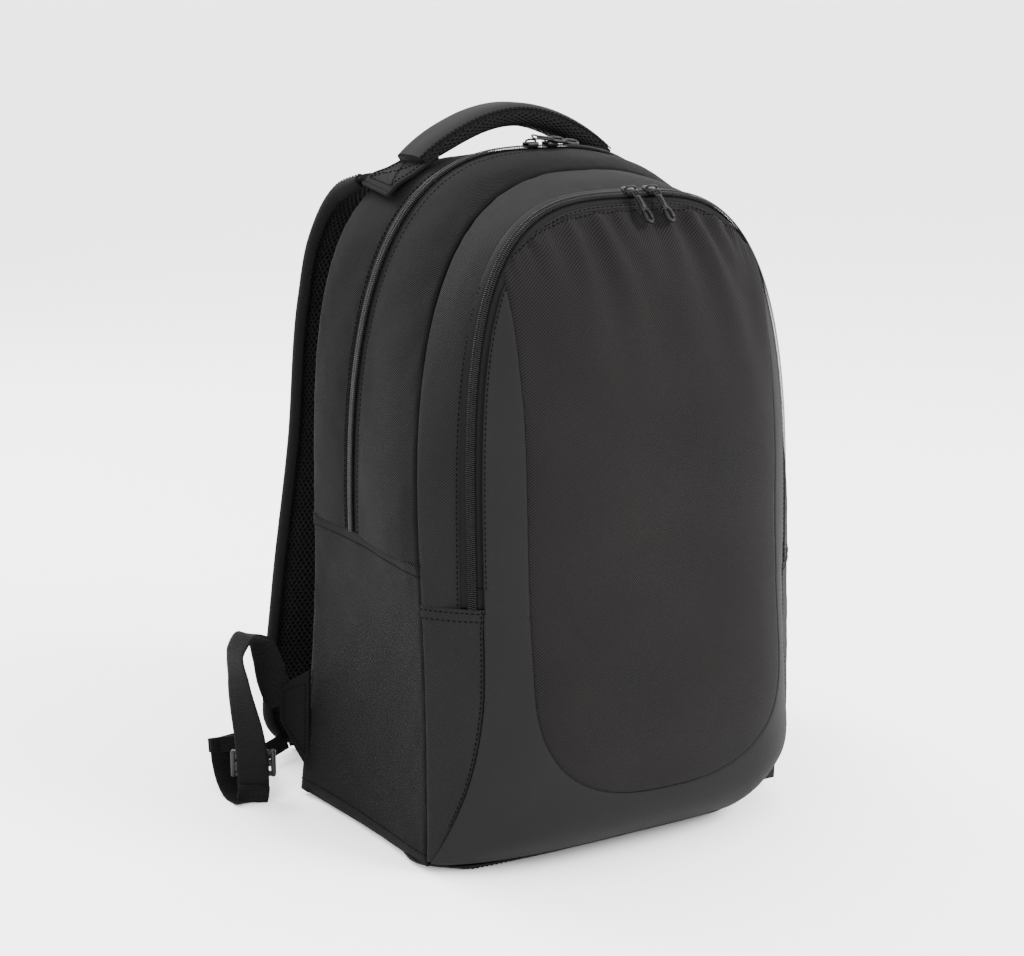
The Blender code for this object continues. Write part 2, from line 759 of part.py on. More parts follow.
def lock_frame(side):
    """Across the webbing, up along it, and out of its face, for the ladder lock."""
    out = np.array((side * 0.50, -0.86, 0.0))
    across = np.array((0.86, side * 0.50, 0.0))
    return across / np.linalg.norm(across), np.array((0.0, 0.0, 1.0)), out / np.linalg.norm(out)


def ladder_lock(side, word, materials):
    """A ladder lock: a plate with two slots, for the webbing to go round its bars."""
    across, up, out = lock_frame(side)
    centre = mirrored(LOCK_AT, side)
    deep = LOCK_THICKNESS / 2
    edges_up = (-LOCK_TALL, -LOCK_SLOT_TOP, -LOCK_BAR, LOCK_BAR, LOCK_SLOT_TOP, LOCK_TALL)
    edges_across = (-LOCK_WIDE, -LOCK_SLOT, LOCK_SLOT, LOCK_WIDE)
    rows = tuple(zip(edges_up[:-1], edges_up[1:]))
    columns = tuple(zip(edges_across[:-1], edges_across[1:]))
    build = bmesh.new()
    cache = {}

    def corner(a, b, c):
        if (a, b, c) not in cache:
            cache[(a, b, c)] = build.verts.new(centre + across * a + up * b + out * c)
        return cache[(a, b, c)]

    slots = {(1, 1), (3, 1)}
    solid = {(r, c) for r in range(5) for c in range(3)} - slots
    for r, c in solid:
        b0, b1 = rows[r]
        a0, a1 = columns[c]
        for d in (-deep, deep):
            build.faces.new([corner(a, b, d) for a, b in ((a0, b0), (a1, b0), (a1, b1), (a0, b1))])
        walls = (
            ((r - 1, c), (a0, b0), (a1, b0)),
            ((r + 1, c), (a1, b1), (a0, b1)),
            ((r, c - 1), (a0, b1), (a0, b0)),
            ((r, c + 1), (a1, b0), (a1, b1)),
        )
        for neighbour, p, q in walls:
            if neighbour not in solid:
                wall = ((*p, -deep), (*q, -deep), (*q, deep), (*p, deep))
                build.faces.new([corner(*place) for place in wall])
    points = [v.co.copy() for v in build.verts]
    build.verts.index_update()
    faces = [tuple(v.index for v in f.verts) for f in build.faces]
    build.free()
    hinge = tuple(mirrored(LOCK_HINGE, side))
    add(f"ladder_lock_{word}", (points, faces), materials["black_plastic"], hinge)


def webbing(side, word, materials):
    line = mirrored(curve_points(WEB_LINE, 25), side)
    start = np.array((side * 0.35, -0.90, 0.25))
    loop = np.array((side * 0.10, 0.99, 0.0))
    down = lock_frame(side)[0] * side
    across = []
    for share in np.linspace(0, 2.2, len(line)):
        near_tab = max(0, 1 - share)
        near_lock = max(0, share - 1)
        at_loop = max(0, 1 - near_tab - near_lock)
        across.append(loop * at_loop + down * near_lock - start * near_tab)
    body = flat_section(WEB_WIDTH, WEB_THICKNESS)
    add(f"webbing_{word}", ribbon(line, across, lambda point: body), materials["webbing"])
    tail = mirrored(curve_points(TAIL_LINE, 14), side)
    run = tail[-1] - tail[0]
    level = [(run[1], -run[0], 0.0)] * len(tail)
    add(f"webbing_tail_{word}", ribbon(tail, level, lambda point: body), materials["webbing"])
    stub = mirrored(curve_points(STUB_LINE, 7), side)
    upright = np.array((0.0, 0.25, 1.0))
    stub_across = [upright * (1 - s) + down * s for s in np.linspace(0.2, 0.8, len(stub))]
    small = flat_section(WEB_WIDTH * 0.5, WEB_THICKNESS)
    hinge = (0.0, STRAP_HINGE_Y, STRAP_HINGE_Z)
    body = ribbon(stub, stub_across, lambda point: small)
    add(f"strap_stub_{word}", body, materials["webbing"], hinge)


def webbing_tab(side, word, materials):
    """The triangular tab, sewn into the side's back seam, that holds the webbing."""
    root_y = BACK_Y + 0.0015
    top = (0.1605, root_y, 0.090)
    bottom = (0.1620, root_y, 0.028)
    point = mirrored(TAB_POINT, side)
    thick = np.array((0.0, 0.004, 0.0))
    near = [mirrored(top, side), mirrored(bottom, side), point + (0, 0, -0.012), point + (0, 0, 0.0015)]
    far = [p + thick for p in near]
    add(f"webbing_tab_{word}", tube([near, far]), materials["twill"])


def yoke(materials):
    """The patch on the outside of the back panel's top, that the straps are sewn to."""
    grid = []
    for z in np.linspace(0.405, 0.440, 3):
        half = BACK.x(z) - 0.020
        grid.append([(half * share, BACK_Y + CLEAR + 0.002, z) for share in np.linspace(-1, 1, 9)])
    add("strap_yoke", sheet(grid), materials["twill"])


def main():
    clear_materials_and_objects()
    materials = make_materials()
    back_panel(materials)
    base(materials)
    rear_gusset(materials)
    side_walls(materials)
    side_folds(materials)
    lower_gussets(materials)
    lower_front(materials)
    dividers(materials)
    middle_gusset(materials)
    pocket_gusset(materials)
    zips(materials)
    front_flap(materials)
    main_sliders(materials)
    pocket_sliders(materials)
    handle(materials)
    yoke(materials)
    for side, word in ((-1, "left"), (1, "right")):
        strap(side, word, materials)
        ladder_lock(side, word, materials)
        webbing(side, word, materials)
        webbing_tab(side, word, materials)


main()
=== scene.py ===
"""Looks of a school backpack: fabric panels, zips, padding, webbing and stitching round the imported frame.

Metres, +Z up. The front faces -Y and the straps are behind at +Y. Each panel is a grid of points
between two seams, so its edges meet its neighbours' along the seam and its weave and stitches
follow its own surface.
"""

import math

import bpy
import numpy as np
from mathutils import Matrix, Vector


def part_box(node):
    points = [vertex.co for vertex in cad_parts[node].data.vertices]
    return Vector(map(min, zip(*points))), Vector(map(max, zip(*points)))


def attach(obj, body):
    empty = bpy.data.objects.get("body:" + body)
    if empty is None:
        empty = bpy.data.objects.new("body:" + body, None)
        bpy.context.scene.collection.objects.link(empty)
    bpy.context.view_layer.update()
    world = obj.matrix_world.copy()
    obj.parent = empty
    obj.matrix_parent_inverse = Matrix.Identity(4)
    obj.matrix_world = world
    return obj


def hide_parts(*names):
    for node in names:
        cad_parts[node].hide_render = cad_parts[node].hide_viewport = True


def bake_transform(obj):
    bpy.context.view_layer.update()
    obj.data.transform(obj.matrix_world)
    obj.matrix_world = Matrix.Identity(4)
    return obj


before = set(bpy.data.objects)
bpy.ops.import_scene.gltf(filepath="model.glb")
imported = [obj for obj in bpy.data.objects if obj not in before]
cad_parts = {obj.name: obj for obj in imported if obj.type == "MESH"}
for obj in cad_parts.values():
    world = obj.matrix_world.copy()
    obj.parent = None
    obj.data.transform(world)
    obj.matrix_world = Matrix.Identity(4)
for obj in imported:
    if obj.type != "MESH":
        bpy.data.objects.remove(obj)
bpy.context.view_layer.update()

SIDES = ((-1, "left"), (1, "right"))

# ---------------------------------------------------------------- the shape, as in the CAD

SHOULDER_Z = 0.20
HEM_Z = 0.2145  # the main zip's ends, and the hem across each side
POCKET_HEM_Z = 0.186  # the pocket zip's ends, and the hem across each front gusset
CUT_Z = 0.2025  # the front panel is in two pieces, above and below its crease
FLOOR_Z = 0.003  # lowest edge of the walls
BACK_Y = 0.090
TAPE = 0.0092
BODY_CENTRE = (0.0, 0.0, 0.2)
FABRIC = 0.0013


def unit(vectors):
    """The same vectors, each with a length of 1."""
    return vectors / np.linalg.norm(vectors, axis=-1, keepdims=True)


def tangents(line):
    """Unit vectors along a line of points."""
    return unit(np.gradient(line, axis=0))


def square_to(vectors, along):
    """Unit vectors as near to these as they can be while square to the unit vectors along."""
    return unit(vectors - along * (vectors * along).sum(axis=-1, keepdims=True))


def length_of(line):
    return np.linalg.norm(np.diff(line, axis=0), axis=1).sum()


def distances(line):
    """Distance of each point of a line from its start."""
    return np.concatenate([[0], np.cumsum(np.linalg.norm(np.diff(line, axis=0), axis=1))])


def row_distances(grid):
    """Distance of each point of a grid from the first point of its row."""
    steps = np.linalg.norm(np.diff(grid, axis=1), axis=2)
    return np.concatenate([np.zeros((len(grid), 1)), np.cumsum(steps, axis=1)], axis=1)


def resampled(values, count):
    """Evenly spaced rows of values, whose first three columns are the points that they are spaced along."""
    along = distances(values[:, :3])
    wanted = np.linspace(0, along[-1], count)
    return np.stack([np.interp(wanted, along, column) for column in values.T], axis=1)


class Seam:
    """An arch-shaped seam: a superellipse above SHOULDER_Z, with sides that run down to a foot."""

    def __init__(self, width, foot, top, power, depths):
        self.width = width
        self.foot = foot
        self.top = top
        self.power = power
        self.bend = np.polyfit((0.0, 0.23, 0.46), depths, 2)

    def y(self, z):
        return np.polyval(self.bend, z)

    def x(self, z):
        """Half width at height z."""
        z = np.asarray(z, float)
        low = self.foot + (self.width - self.foot) * np.sin(np.clip(z / SHOULDER_Z, 0, 1) * math.pi / 2)
        share = np.clip((z - SHOULDER_Z) / (self.top - SHOULDER_Z), 0, 1)
        return np.where(z < SHOULDER_Z, low, self.width * (1 - share**self.power) ** (1 / self.power))

    def z(self, x):
        share = np.clip(np.abs(x) / self.width, 0, 1)
        return SHOULDER_Z + (self.top - SHOULDER_Z) * (1 - share**self.power) ** (1 / self.power)

    def arch(self, start_z, count):
        """Evenly spaced points from start_z on the left, over the top, to start_z on the right."""
        straight = np.linspace(start_z, SHOULDER_Z, 40)[:-1] if start_z < SHOULDER_Z else np.array([])
        share = max(start_z - SHOULDER_Z, 0) / (self.top - SHOULDER_Z)
        angle = np.linspace(math.asin(share ** (self.power / 2)), math.pi / 2, 500)
        x = np.concatenate([self.x(straight), self.width * np.cos(angle) ** (2 / self.power)])
        curved = SHOULDER_Z + (self.top - SHOULDER_Z) * np.sin(angle) ** (2 / self.power)
        z = np.concatenate([straight, curved])
        half = np.stack([-x, self.y(z), z], axis=1)
        return resampled(np.vstack([half, half[-2::-1] * (-1, 1, 1)]), count)


BACK = Seam(0.149, 0.1645, 0.466, 3.6, (BACK_Y + 0.0075, BACK_Y + 0.004, BACK_Y))
MAIN = Seam(0.148, 0.158, 0.475, 2.9, (0.022, 0.0335, 0.028))
MIDDLE = Seam(0.153, 0.153, 0.464, 2.5, (-0.077, -0.070, -0.028))
POCKET = Seam(0.128, 0.140, 0.451, 3.3, (-0.097, -0.099, -0.0815))
# (height, depth) down the front panel's middle.
FRONT_LINE = (
    (0, -0.094), (0.02, -0.125), (0.08, -0.149), (0.20, -0.143),
    (0.34, -0.133), (0.42, -0.109), (0.451, -0.083),
)
# (height, half width) and (height, depth) of the front panel's lower edge.
FRONT_EDGE_X = ((0, 0.1525), (0.02, 0.1475), (0.06, 0.1375), (0.12, 0.130), (0.186, 0.128))
FRONT_EDGE_Y = ((0, -0.078), (0.02, -0.088), (0.06, -0.099), (0.12, -0.101), (0.186, -0.0989))


def through(points, at):
    """The smooth curve through a few (position, value) points."""
    at = np.asarray(at, float)
    positions = np.array([p[0] for p in points], float)
    values = np.array([p[1] for p in points], float)
    slopes = np.gradient(values, positions)
    i = np.clip(np.searchsorted(positions, at) - 1, 0, len(points) - 2)
    width = positions[i + 1] - positions[i]
    t = np.clip((at - positions[i]) / width, 0, 1)
    bend = smooth(t)
    start = slopes[i] * width * (t**3 - 2 * t**2 + t)
    end = slopes[i + 1] * width * (t**3 - t**2)
    return values[i] * (1 - bend) + values[i + 1] * bend + start + end


def smooth(t):
    t = np.clip(t, 0, 1)
    return t * t * (3 - 2 * t)


def curve(points, count):
    """Evenly spaced points on the smooth curve through a few points."""
    points = np.array(points, float)
    along = distances(points)
    fine = np.linspace(0, along[-1], 600)
    columns = [through(list(zip(along, column)), fine) for column in points.T]
    return resampled(np.stack(columns, axis=1), count)


def waves(points, size, seed):
    """Smooth noise from -1 to 1 at each point, with bumps of about a given size."""
    random = np.random.default_rng(seed)
    total = np.zeros(points.shape[:-1])
    for _ in range(7):
        direction = random.normal(size=3)
        direction /= np.linalg.norm(direction)
        length = size * random.uniform(0.7, 1.9)
        total += np.sin(points @ direction * 2 * math.pi / length + random.uniform(0, 2 * math.pi))
    return total / 4


# ---------------------------------------------------------------- meshes


def mesh_object(name, points, faces, uv, materials, slots=None, normals=None):
    """An object of quads, with its UVs in metres so that a weave keeps its real size."""
    points = np.asarray(points, np.float32).reshape(-1, 3)
    faces = np.asarray(faces, np.int32).reshape(-1, 4)
    mesh = bpy.data.meshes.new(name)
    mesh.vertices.add(len(points))
    mesh.vertices.foreach_set("co", points.ravel())
    mesh.loops.add(faces.size)
    mesh.loops.foreach_set("vertex_index", faces.ravel())
    mesh.polygons.add(len(faces))
    mesh.polygons.foreach_set("loop_start", np.arange(0, faces.size, 4, dtype=np.int32))
    layer = mesh.uv_layers.new(name="UVMap")
    layer.data.foreach_set("uv", np.asarray(uv, np.float32).reshape(-1, 2)[faces.ravel()].ravel())
    for material in materials:
        mesh.materials.append(material)
    if slots is not None:
        mesh.polygons.foreach_set("material_index", np.asarray(slots, np.int32))
    mesh.polygons.foreach_set("use_smooth", np.ones(len(faces), bool))
    mesh.update(calc_edges=True)
    mesh.validate()
    if normals is not None:
        mesh.normals_split_custom_set_from_vertices(np.asarray(normals, float).reshape(-1, 3).tolist())
    piece = bpy.data.objects.new(name, mesh)
    bpy.context.scene.collection.objects.link(piece)
    return piece


def grid_faces(rows, columns, first=0, wrapped=False):
    """Quads of a grid of points, rows by columns, whose columns may wrap round."""
    r = np.arange(rows - 1)[:, None]
    c = np.arange(columns if wrapped else columns - 1)[None, :]
    d = (c + 1) % columns
    below = (r + 1) * columns
    quads = np.stack([r * columns + c, r * columns + d, below + d, below + c], axis=-1)
    return quads.reshape(-1, 4) + first


def grid_normals(grid, centre=BODY_CENTRE):
    """Unit normals of a grid, and whether its quads have to be turned to face away from centre."""
    normals = np.cross(np.gradient(grid, axis=0), np.gradient(grid, axis=1))
    normals /= np.maximum(np.linalg.norm(normals, axis=2, keepdims=True), 1e-12)
    turned = ((grid - np.array(centre)) * normals).sum() < 0
    return (-normals if turned else normals), turned


def grid_uv(grid):
    """Distances along the middle column and across each row, in metres."""
    columns = grid.shape[1]
    u = np.repeat(distances(grid[:, columns // 2])[:, None], columns, axis=1)
    v = row_distances(grid)
    v -= v[:, columns // 2][:, None]
    return np.stack([u, v], axis=2)


def cloth(
    name, grid, outside, inside, thickness=FABRIC, centre=BODY_CENTRE,
    crop=(0, 0), keep_normals=False, uv=None,
):
    """A sheet with two faces and a closed edge. crop leaves off rows that only shaped the ends."""
    normals, turned = grid_normals(grid, centre)
    uv = grid_uv(grid) if uv is None else uv
    stop = len(grid) - crop[1]
    grid, normals, uv = (part[crop[0] : stop] for part in (grid, normals, uv))
    rows, columns = grid.shape[:2]
    count = rows * columns
    points = np.concatenate([grid.reshape(-1, 3), (grid - normals * thickness).reshape(-1, 3)])
    front = grid_faces(rows, columns)
    back = grid_faces(rows, columns, count)
    border = np.concatenate([
        np.arange(columns),
        np.arange(1, rows) * columns + columns - 1,
        (rows - 1) * columns + np.arange(columns - 2, -1, -1),
        np.arange(rows - 2, 0, -1) * columns,
    ])
    after = np.roll(border, -1)
    rim = np.stack([after, border, border + count, after + count], axis=1)
    faces = np.concatenate([front, back[:, ::-1], rim])
    if not turned:
        faces = faces[:, ::-1]
    slots = np.concatenate([np.zeros(len(front)), np.ones(len(back)), np.zeros(len(rim))])
    custom = np.concatenate([normals.reshape(-1, 3), -normals.reshape(-1, 3)]) if keep_normals else None
    both_uv = np.concatenate([uv.reshape(-1, 2), uv.reshape(-1, 2)])
    return mesh_object(name, points, faces, both_uv, [outside, inside], slots, custom)


def tube(rings):
    """Points, quads and UVs of a closed form through rings of points, with rounded-off closed ends."""
    rings = np.asarray(rings, float)
    middle = rings.mean(axis=1, keepdims=True)
    closed = np.concatenate([
        middle[:1] + (rings[:1] - middle[:1]) * 0.001,
        rings,
        middle[-1:] + (rings[-1:] - middle[-1:]) * 0.001,
    ])
    rows, columns = closed.shape[:2]
    step = np.linalg.norm(np.diff(middle[:, 0], axis=0), axis=1)
    u = np.concatenate([[0, 0], np.cumsum(step), [step.sum()]])[:, None] * np.ones((1, columns))
    ring = rings[len(rings) // 2]
    around = distances(ring)
    v = np.ones((rows, 1)) * around[None, :]
    faces = grid_faces(rows, columns, wrapped=True)
    return closed.reshape(-1, 3), faces, np.stack([u, v], axis=2).reshape(-1, 2)


def facing_out(points, faces):
    """The same quads, turned round if they enclose a negative volume."""
    p = np.asarray(points, float)[np.asarray(faces)]
    volume = (np.cross(p[:, 0], p[:, 1]) * p[:, 2]).sum() + (np.cross(p[:, 0], p[:, 2]) * p[:, 3]).sum()
    return faces if volume > 0 else faces[:, ::-1]


def joined(parts):
    """Several (points, quads, uv) sets as one."""
    points, faces, uv, first = [], [], [], 0
    for p, f, t in parts:
        points.append(np.asarray(p, float).reshape(-1, 3))
        faces.append(np.asarray(f).reshape(-1, 4) + first)
        uv.append(np.asarray(t, float).reshape(-1, 2))
        first += len(points[-1])
    return np.concatenate(points), np.concatenate(faces), np.concatenate(uv)


def solid(name, parts, material):
    """One object of several closed forms."""
    turned = [(p, facing_out(p, f), t) for p, f, t in parts]
    points, faces, uv = joined(turned)
    return mesh_object(name, points, faces, uv, [material])


# ---------------------------------------------------------------- stitches

STITCH = 0.0026
STITCH_PITCH = 0.0036
THREAD = 0.00038


def stitches(line, normals, pitch=STITCH_PITCH, length=STITCH, radius=THREAD):
    """A row of stitches along a line that lies on a surface with these normals."""
    total = length_of(line)
    count = max(int(total / pitch), 1)
    both = resampled_with(line, normals, count * 2 + 1)
    centre, up = both[0][1::2], both[1][1::2]
    along = both[0][2::2] - both[0][:-1:2]
    along /= np.maximum(np.linalg.norm(along, axis=1, keepdims=True), 1e-9)
    side = np.cross(along, up)
    shape = ((-0.5, 0.5, -0.9), (-0.32, 1.0, 0.5), (0.32, 1.0, 0.5), (0.5, 0.5, -0.9))
    rings = []
    for at, wide, high in shape:
        middle = centre + along * at * length + up * high * radius
        corners = [middle + way * wide * radius for way in (side, up, -side, -up)]
        rings.append(np.stack(corners, axis=1))
    points = np.stack(rings, axis=1)
    one = np.concatenate([grid_faces(4, 4, wrapped=True), [[0, 1, 2, 3]], [[15, 14, 13, 12]]])
    faces = one[None] + (np.arange(len(centre)) * 16)[:, None, None]
    return points.reshape(-1, 3), faces.reshape(-1, 4), np.zeros((len(centre) * 16, 2))


def resampled_with(line, normals, count):
    both = resampled(np.hstack([line, normals]), count)
    up = both[:, 3:]
    return both[:, :3], up / np.maximum(np.linalg.norm(up, axis=1, keepdims=True), 1e-9)


def rows_at(grid, distance, from_start=True):
    """The line on a grid at a distance in from one long edge, and the normals there."""
    normals, _ = grid_normals(grid)
    if not from_start:
        grid = grid[:, ::-1]
        normals = normals[:, ::-1]
    across = row_distances(grid)
    line = [[np.interp(distance, across[r], grid[r, :, k]) for k in range(3)] for r in range(len(grid))]
    up = [[np.interp(distance, across[r], normals[r, :, k]) for k in range(3)] for r in range(len(grid))]
    return np.array(line), np.array(up)


def edge_row(grid, distance, from_start=True):
    """As rows_at, but in from the grid's first or last row."""
    return rows_at(grid.transpose(1, 0, 2), distance, from_start)


# ---------------------------------------------------------------- materials


class Shader:
    """A Principled material with a few short ways to add nodes to it."""

    def __init__(self, name, roughness, sheen=0.0, gloss=0.5):
        self.material = bpy.data.materials.new(name)
        self.material.use_nodes = True
        self.tree = self.material.node_tree
        self.main = self.tree.nodes["Principled BSDF"]
        self.main.inputs["Roughness"].default_value = roughness
        self.main.inputs["Specular IOR Level"].default_value = gloss
        self.main.inputs["Sheen Weight"].default_value = sheen
        self.main.inputs["Sheen Roughness"].default_value = 0.5
        self.coordinates = self.tree.nodes.new("ShaderNodeTexCoord")

    def link(self, output, node, name):
        self.tree.links.new(output, node.inputs[name])

    def maths(self, operation, first, second=None):
        node = self.tree.nodes.new("ShaderNodeMath")
        node.operation = operation
        for i, value in enumerate((first, second)):
            if value is None:
                continue
            if isinstance(value, (int, float)):
                node.inputs[i].default_value = value
            else:
                self.tree.links.new(value, node.inputs[i])
        return node.outputs[0]

    def noise(self, size, detail=3.0):
        """Noise from 0 to 1 with features of a given size in metres."""
        node = self.tree.nodes.new("ShaderNodeTexNoise")
        node.inputs["Scale"].default_value = 1 / size
        node.inputs["Detail"].default_value = detail
        self.link(self.coordinates.outputs["Object"], node, "Vector")
        return node.outputs["Fac"]

    def turned_uv(self, angle):
        """The two UV distances, turned by an angle in degrees."""
        node = self.tree.nodes.new("ShaderNodeMapping")
        node.inputs["Rotation"].default_value = (0, 0, math.radians(angle))
        self.link(self.coordinates.outputs["UV"], node, "Vector")
        split = self.tree.nodes.new("ShaderNodeSeparateXYZ")
        self.link(node.outputs[0], split, "Vector")
        return split.outputs[0], split.outputs[1]

    def sum_of(self, *weighted):
        """The sum of (value, weight) pairs."""
        total = None
        for value, weight in weighted:
            term = value if weight == 1 else self.maths("MULTIPLY", value, weight)
            total = term if total is None else self.maths("ADD", total, term)
        return total

    def ridges(self, distance, pitch):
        """0 to 1, one ridge each pitch."""
        wave = self.maths("SINE", self.maths("MULTIPLY", distance, 2 * math.pi / pitch))
        return self.maths("MULTIPLY_ADD", wave, 0.5)

    def range_of(self, value, low, high):
        node = self.tree.nodes.new("ShaderNodeMapRange")
        node.inputs["To Min"].default_value = low
        node.inputs["To Max"].default_value = high
        self.link(value, node, "Value")
        return node.outputs[0]

    def colours(self, value, low, high, ends=(0.0, 1.0)):
        node = self.tree.nodes.new("ShaderNodeValToRGB")
        node.color_ramp.elements[0].position, node.color_ramp.elements[1].position = ends
        node.color_ramp.elements[0].color = (*low, 1)
        node.color_ramp.elements[1].color = (*high, 1)
        self.link(value, node, "Fac")
        self.link(node.outputs[0], self.main, "Base Color")

    def bump(self, height, distance, strength=1.0, below=None):
        node = self.tree.nodes.new("ShaderNodeBump")
        node.inputs["Distance"].default_value = distance
        node.inputs["Strength"].default_value = strength
        self.link(height, node, "Height")
        if below is not None:
            self.link(below, node, "Normal")
        self.link(node.outputs[0], self.main, "Normal")
        return node.outputs[0]


CLOTH_GLOSS = 0.045  # fabric shines far less than a smooth solid does


def shade(colour, factor):
    return tuple(min(c * factor, 1.0) for c in colour)


def twill(name, colour, pitch, depth, angle=45, roughness=0.78, sheen=0.006, fade=0.25):
    """Diagonal ridges crossed by their threads, with slow changes of tone, and painted highlights on the
    ridges with painted shade in the hollows between them.
    """
    s = Shader(name, roughness, sheen, gloss=CLOTH_GLOSS)
    over, along = s.turned_uv(angle)
    wander = s.maths("MULTIPLY", s.noise(0.012, 1.0), 0.0006)
    over = s.maths("ADD", over, wander)
    along = s.maths("ADD", along, wander)
    ridge = s.ridges(over, pitch)
    thread = s.ridges(s.sum_of((along, 1), (over, 0.5)), pitch * 0.9)
    weave = s.sum_of((ridge, 0.8), (thread, 0.2))
    lint = s.noise(0.0012, 2.0)
    height = s.sum_of((weave, 1), (lint, 0.25))
    slow = s.noise(0.06, 4.0)
    # painted light: the weave's height makes the ridges lighter and the hollows darker; slow adds random tone
    tone = s.sum_of((height, 0.62), (slow, fade))
    s.colours(tone, shade(colour, 0.35), shade(colour, 1.8), (0.15, 1.05))
    s.link(s.range_of(slow, roughness - 0.08, roughness + 0.08), s.main, "Roughness")
    broad = s.bump(s.noise(0.012, 3.0), 0.0006, 0.35)
    s.bump(height, depth, 0.9, broad)
    return s.material


def plain_weave(name, colour, pitch, depth, roughness=0.7, sheen=0.006):
    """A fine weave, over one and under one."""
    s = Shader(name, roughness, sheen, gloss=CLOTH_GLOSS)
    over, along = s.turned_uv(0)
    weave = s.maths("MULTIPLY", s.ridges(over, pitch), s.ridges(along, pitch))
    lint = s.noise(0.0009, 2.0)
    slow = s.noise(0.08, 4.0)
    tone = s.sum_of((weave, 0.3), (slow, 0.5), (lint, 0.2))
    s.colours(tone, shade(colour, 0.72), shade(colour, 1.3), (0.1, 0.9))
    s.link(s.range_of(slow, roughness - 0.06, roughness + 0.06), s.main, "Roughness")
    broad = s.bump(s.noise(0.010, 3.0), 0.0004, 0.3)
    s.bump(s.sum_of((weave, 1), (lint, 0.6)), depth, 0.8, broad)
    return s.material


def rib_weave(name, colour, pitch, depth):
    """Webbing or tape: ribs across its length, with a fine warp."""
    s = Shader(name, 0.62, 0.005, gloss=CLOTH_GLOSS)
    along, over = s.turned_uv(0)
    weave = s.sum_of((s.ridges(along, pitch), 0.7), (s.ridges(over, pitch * 0.6), 0.3))
    slow = s.noise(0.02, 3.0)
    tone = s.sum_of((weave, 0.6), (slow, 0.4))
    s.colours(tone, shade(colour, 0.5), shade(colour, 1.6), (0.1, 0.9))
    s.link(s.range_of(slow, 0.54, 0.70), s.main, "Roughness")
    s.bump(weave, depth, 0.9)
    return s.material


def moulded(name, colour, roughness, gloss=0.5):
    """Plastic or lacquered metal, with a faint grain and handling marks."""
    s = Shader(name, roughness, 0.0, gloss)
    slow = s.noise(0.004, 4.0)
    s.colours(slow, shade(colour, 0.75), shade(colour, 1.35), (0.3, 0.7))
    s.link(s.range_of(slow, roughness - 0.07, roughness + 0.10), s.main, "Roughness")
    s.bump(s.noise(0.0006, 2.0), 0.00004, 0.4)
    return s.material


def nap(name, colour):
    """Brushed felt-like fabric, or foam seen through a mesh."""
    s = Shader(name, 0.9, 0.01, gloss=CLOTH_GLOSS)
    fine = s.noise(0.0008, 3.0)
    slow = s.noise(0.03, 3.0)
    tone = s.sum_of((fine, 0.6), (slow, 0.4))
    s.colours(tone, shade(colour, 0.6), shade(colour, 1.4), (0.2, 0.8))
    s.link(s.range_of(slow, 0.84, 0.96), s.main, "Roughness")
    s.bump(fine, 0.00025, 0.6)
    return s.material


TWILL = twill("bag_twill", (0.0024, 0.0024, 0.0025), 0.00135, 0.00040, sheen=0.004)
# painted light: the same twill as TWILL, made lighter for the pocket and lower gussets to stand for the extra
# light that falls on them
PAINTED_LIGHT_GUSSET_TWILL = twill("gusset_twill_painted_lighter", (0.0068, 0.0068, 0.0069), 0.00135, 0.00040)
INSET_TWILL = twill("inset_twill", (0.0058, 0.0054, 0.0053), 0.00135, 0.00044, fade=0.35)
FINE = plain_weave("fine_fabric", (0.0072, 0.0072, 0.0073), 0.0008, 0.00012)
LINING = plain_weave("lining", (0.007, 0.007, 0.0073), 0.0007, 0.00006, 0.6)
FELT = nap("felt", (0.010, 0.010, 0.010))
FOAM = nap("foam_under_mesh", (0.003, 0.003, 0.003))
MESH = rib_weave("air_mesh", (0.006, 0.006, 0.006), 0.0010, 0.0001)
WEBBING = rib_weave("webbing_rib", (0.0032, 0.0032, 0.0033), 0.00135, 0.0003)
ZIP_TAPE = rib_weave("zip_tape_rib", (0.0030, 0.0030, 0.0031), 0.0009, 0.0001)
COIL = moulded("zip_coil", (0.0040, 0.0040, 0.0041), 0.42, gloss=0.14)
THREAD_BLACK = moulded("thread", (0.0010, 0.0010, 0.0010), 0.7, gloss=0.03)
METAL = moulded("black_metal_lacquer", (0.0030, 0.0030, 0.0030), 0.30, gloss=0.10)
PLASTIC = moulded("black_plastic_moulded", (0.006, 0.006, 0.0065), 0.42, gloss=0.20)
BOARD = moulded("board_sheet", (0.03, 0.03, 0.03), 0.5)


# ---------------------------------------------------------------- how pieces are held

EDGE_STITCH = 0.0022  # from a panel's edge to the row of stitches beside it
BOX_STITCH = {"pitch": 0.0030, "length": 0.0022}
threads = {"bag": [], "fold": [], "flap": [], "strap_left": [], "strap_right": [], "handle": []}


def on_body(piece, body, slot_name, *nodes):
    """piece moves with one body and stands for these CAD nodes, which are hidden. slot_name is not used."""
    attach(piece, body)
    return standing_for(piece, slot_name, *nodes)


def on_fold(piece, slot_name, *nodes):
    """piece's transform is baked into its mesh, and these CAD nodes are hidden."""
    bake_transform(piece)
    return standing_for(piece, slot_name, *nodes)


def on_flap_fold(piece, slot_name, *nodes):
    """piece's transform is baked into its mesh, and these CAD nodes are hidden."""
    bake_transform(piece)
    return standing_for(piece, slot_name, *nodes)


def on_grip(piece, slot_name, *nodes):
    """piece's transform is baked into its mesh, and these CAD nodes are hidden."""
    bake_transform(piece)
    return standing_for(piece, slot_name, *nodes)


def sew_row(held, row, **sizes):
    """Stitches along a row, which is a line and its normals."""
    threads[held].append(stitches(*row, **sizes))


def standing_for(piece, slot_name, *nodes):
    if nodes:
        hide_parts(*nodes)
    return piece


# ---------------------------------------------------------------- panels between two seams

ROLL = 0.0044  # how much of a panel's edge turns in towards its seam
ROLL_DEPTH = 0.0023


def rolled(distance, depth=ROLL_DEPTH, width=ROLL):
    """How far a panel's surface lies below its own level, at a distance from its seam."""
    share = np.clip(1 - distance / width, 0, 1)
    return depth * (1 - np.sqrt(np.maximum(1 - share**2, 0)))


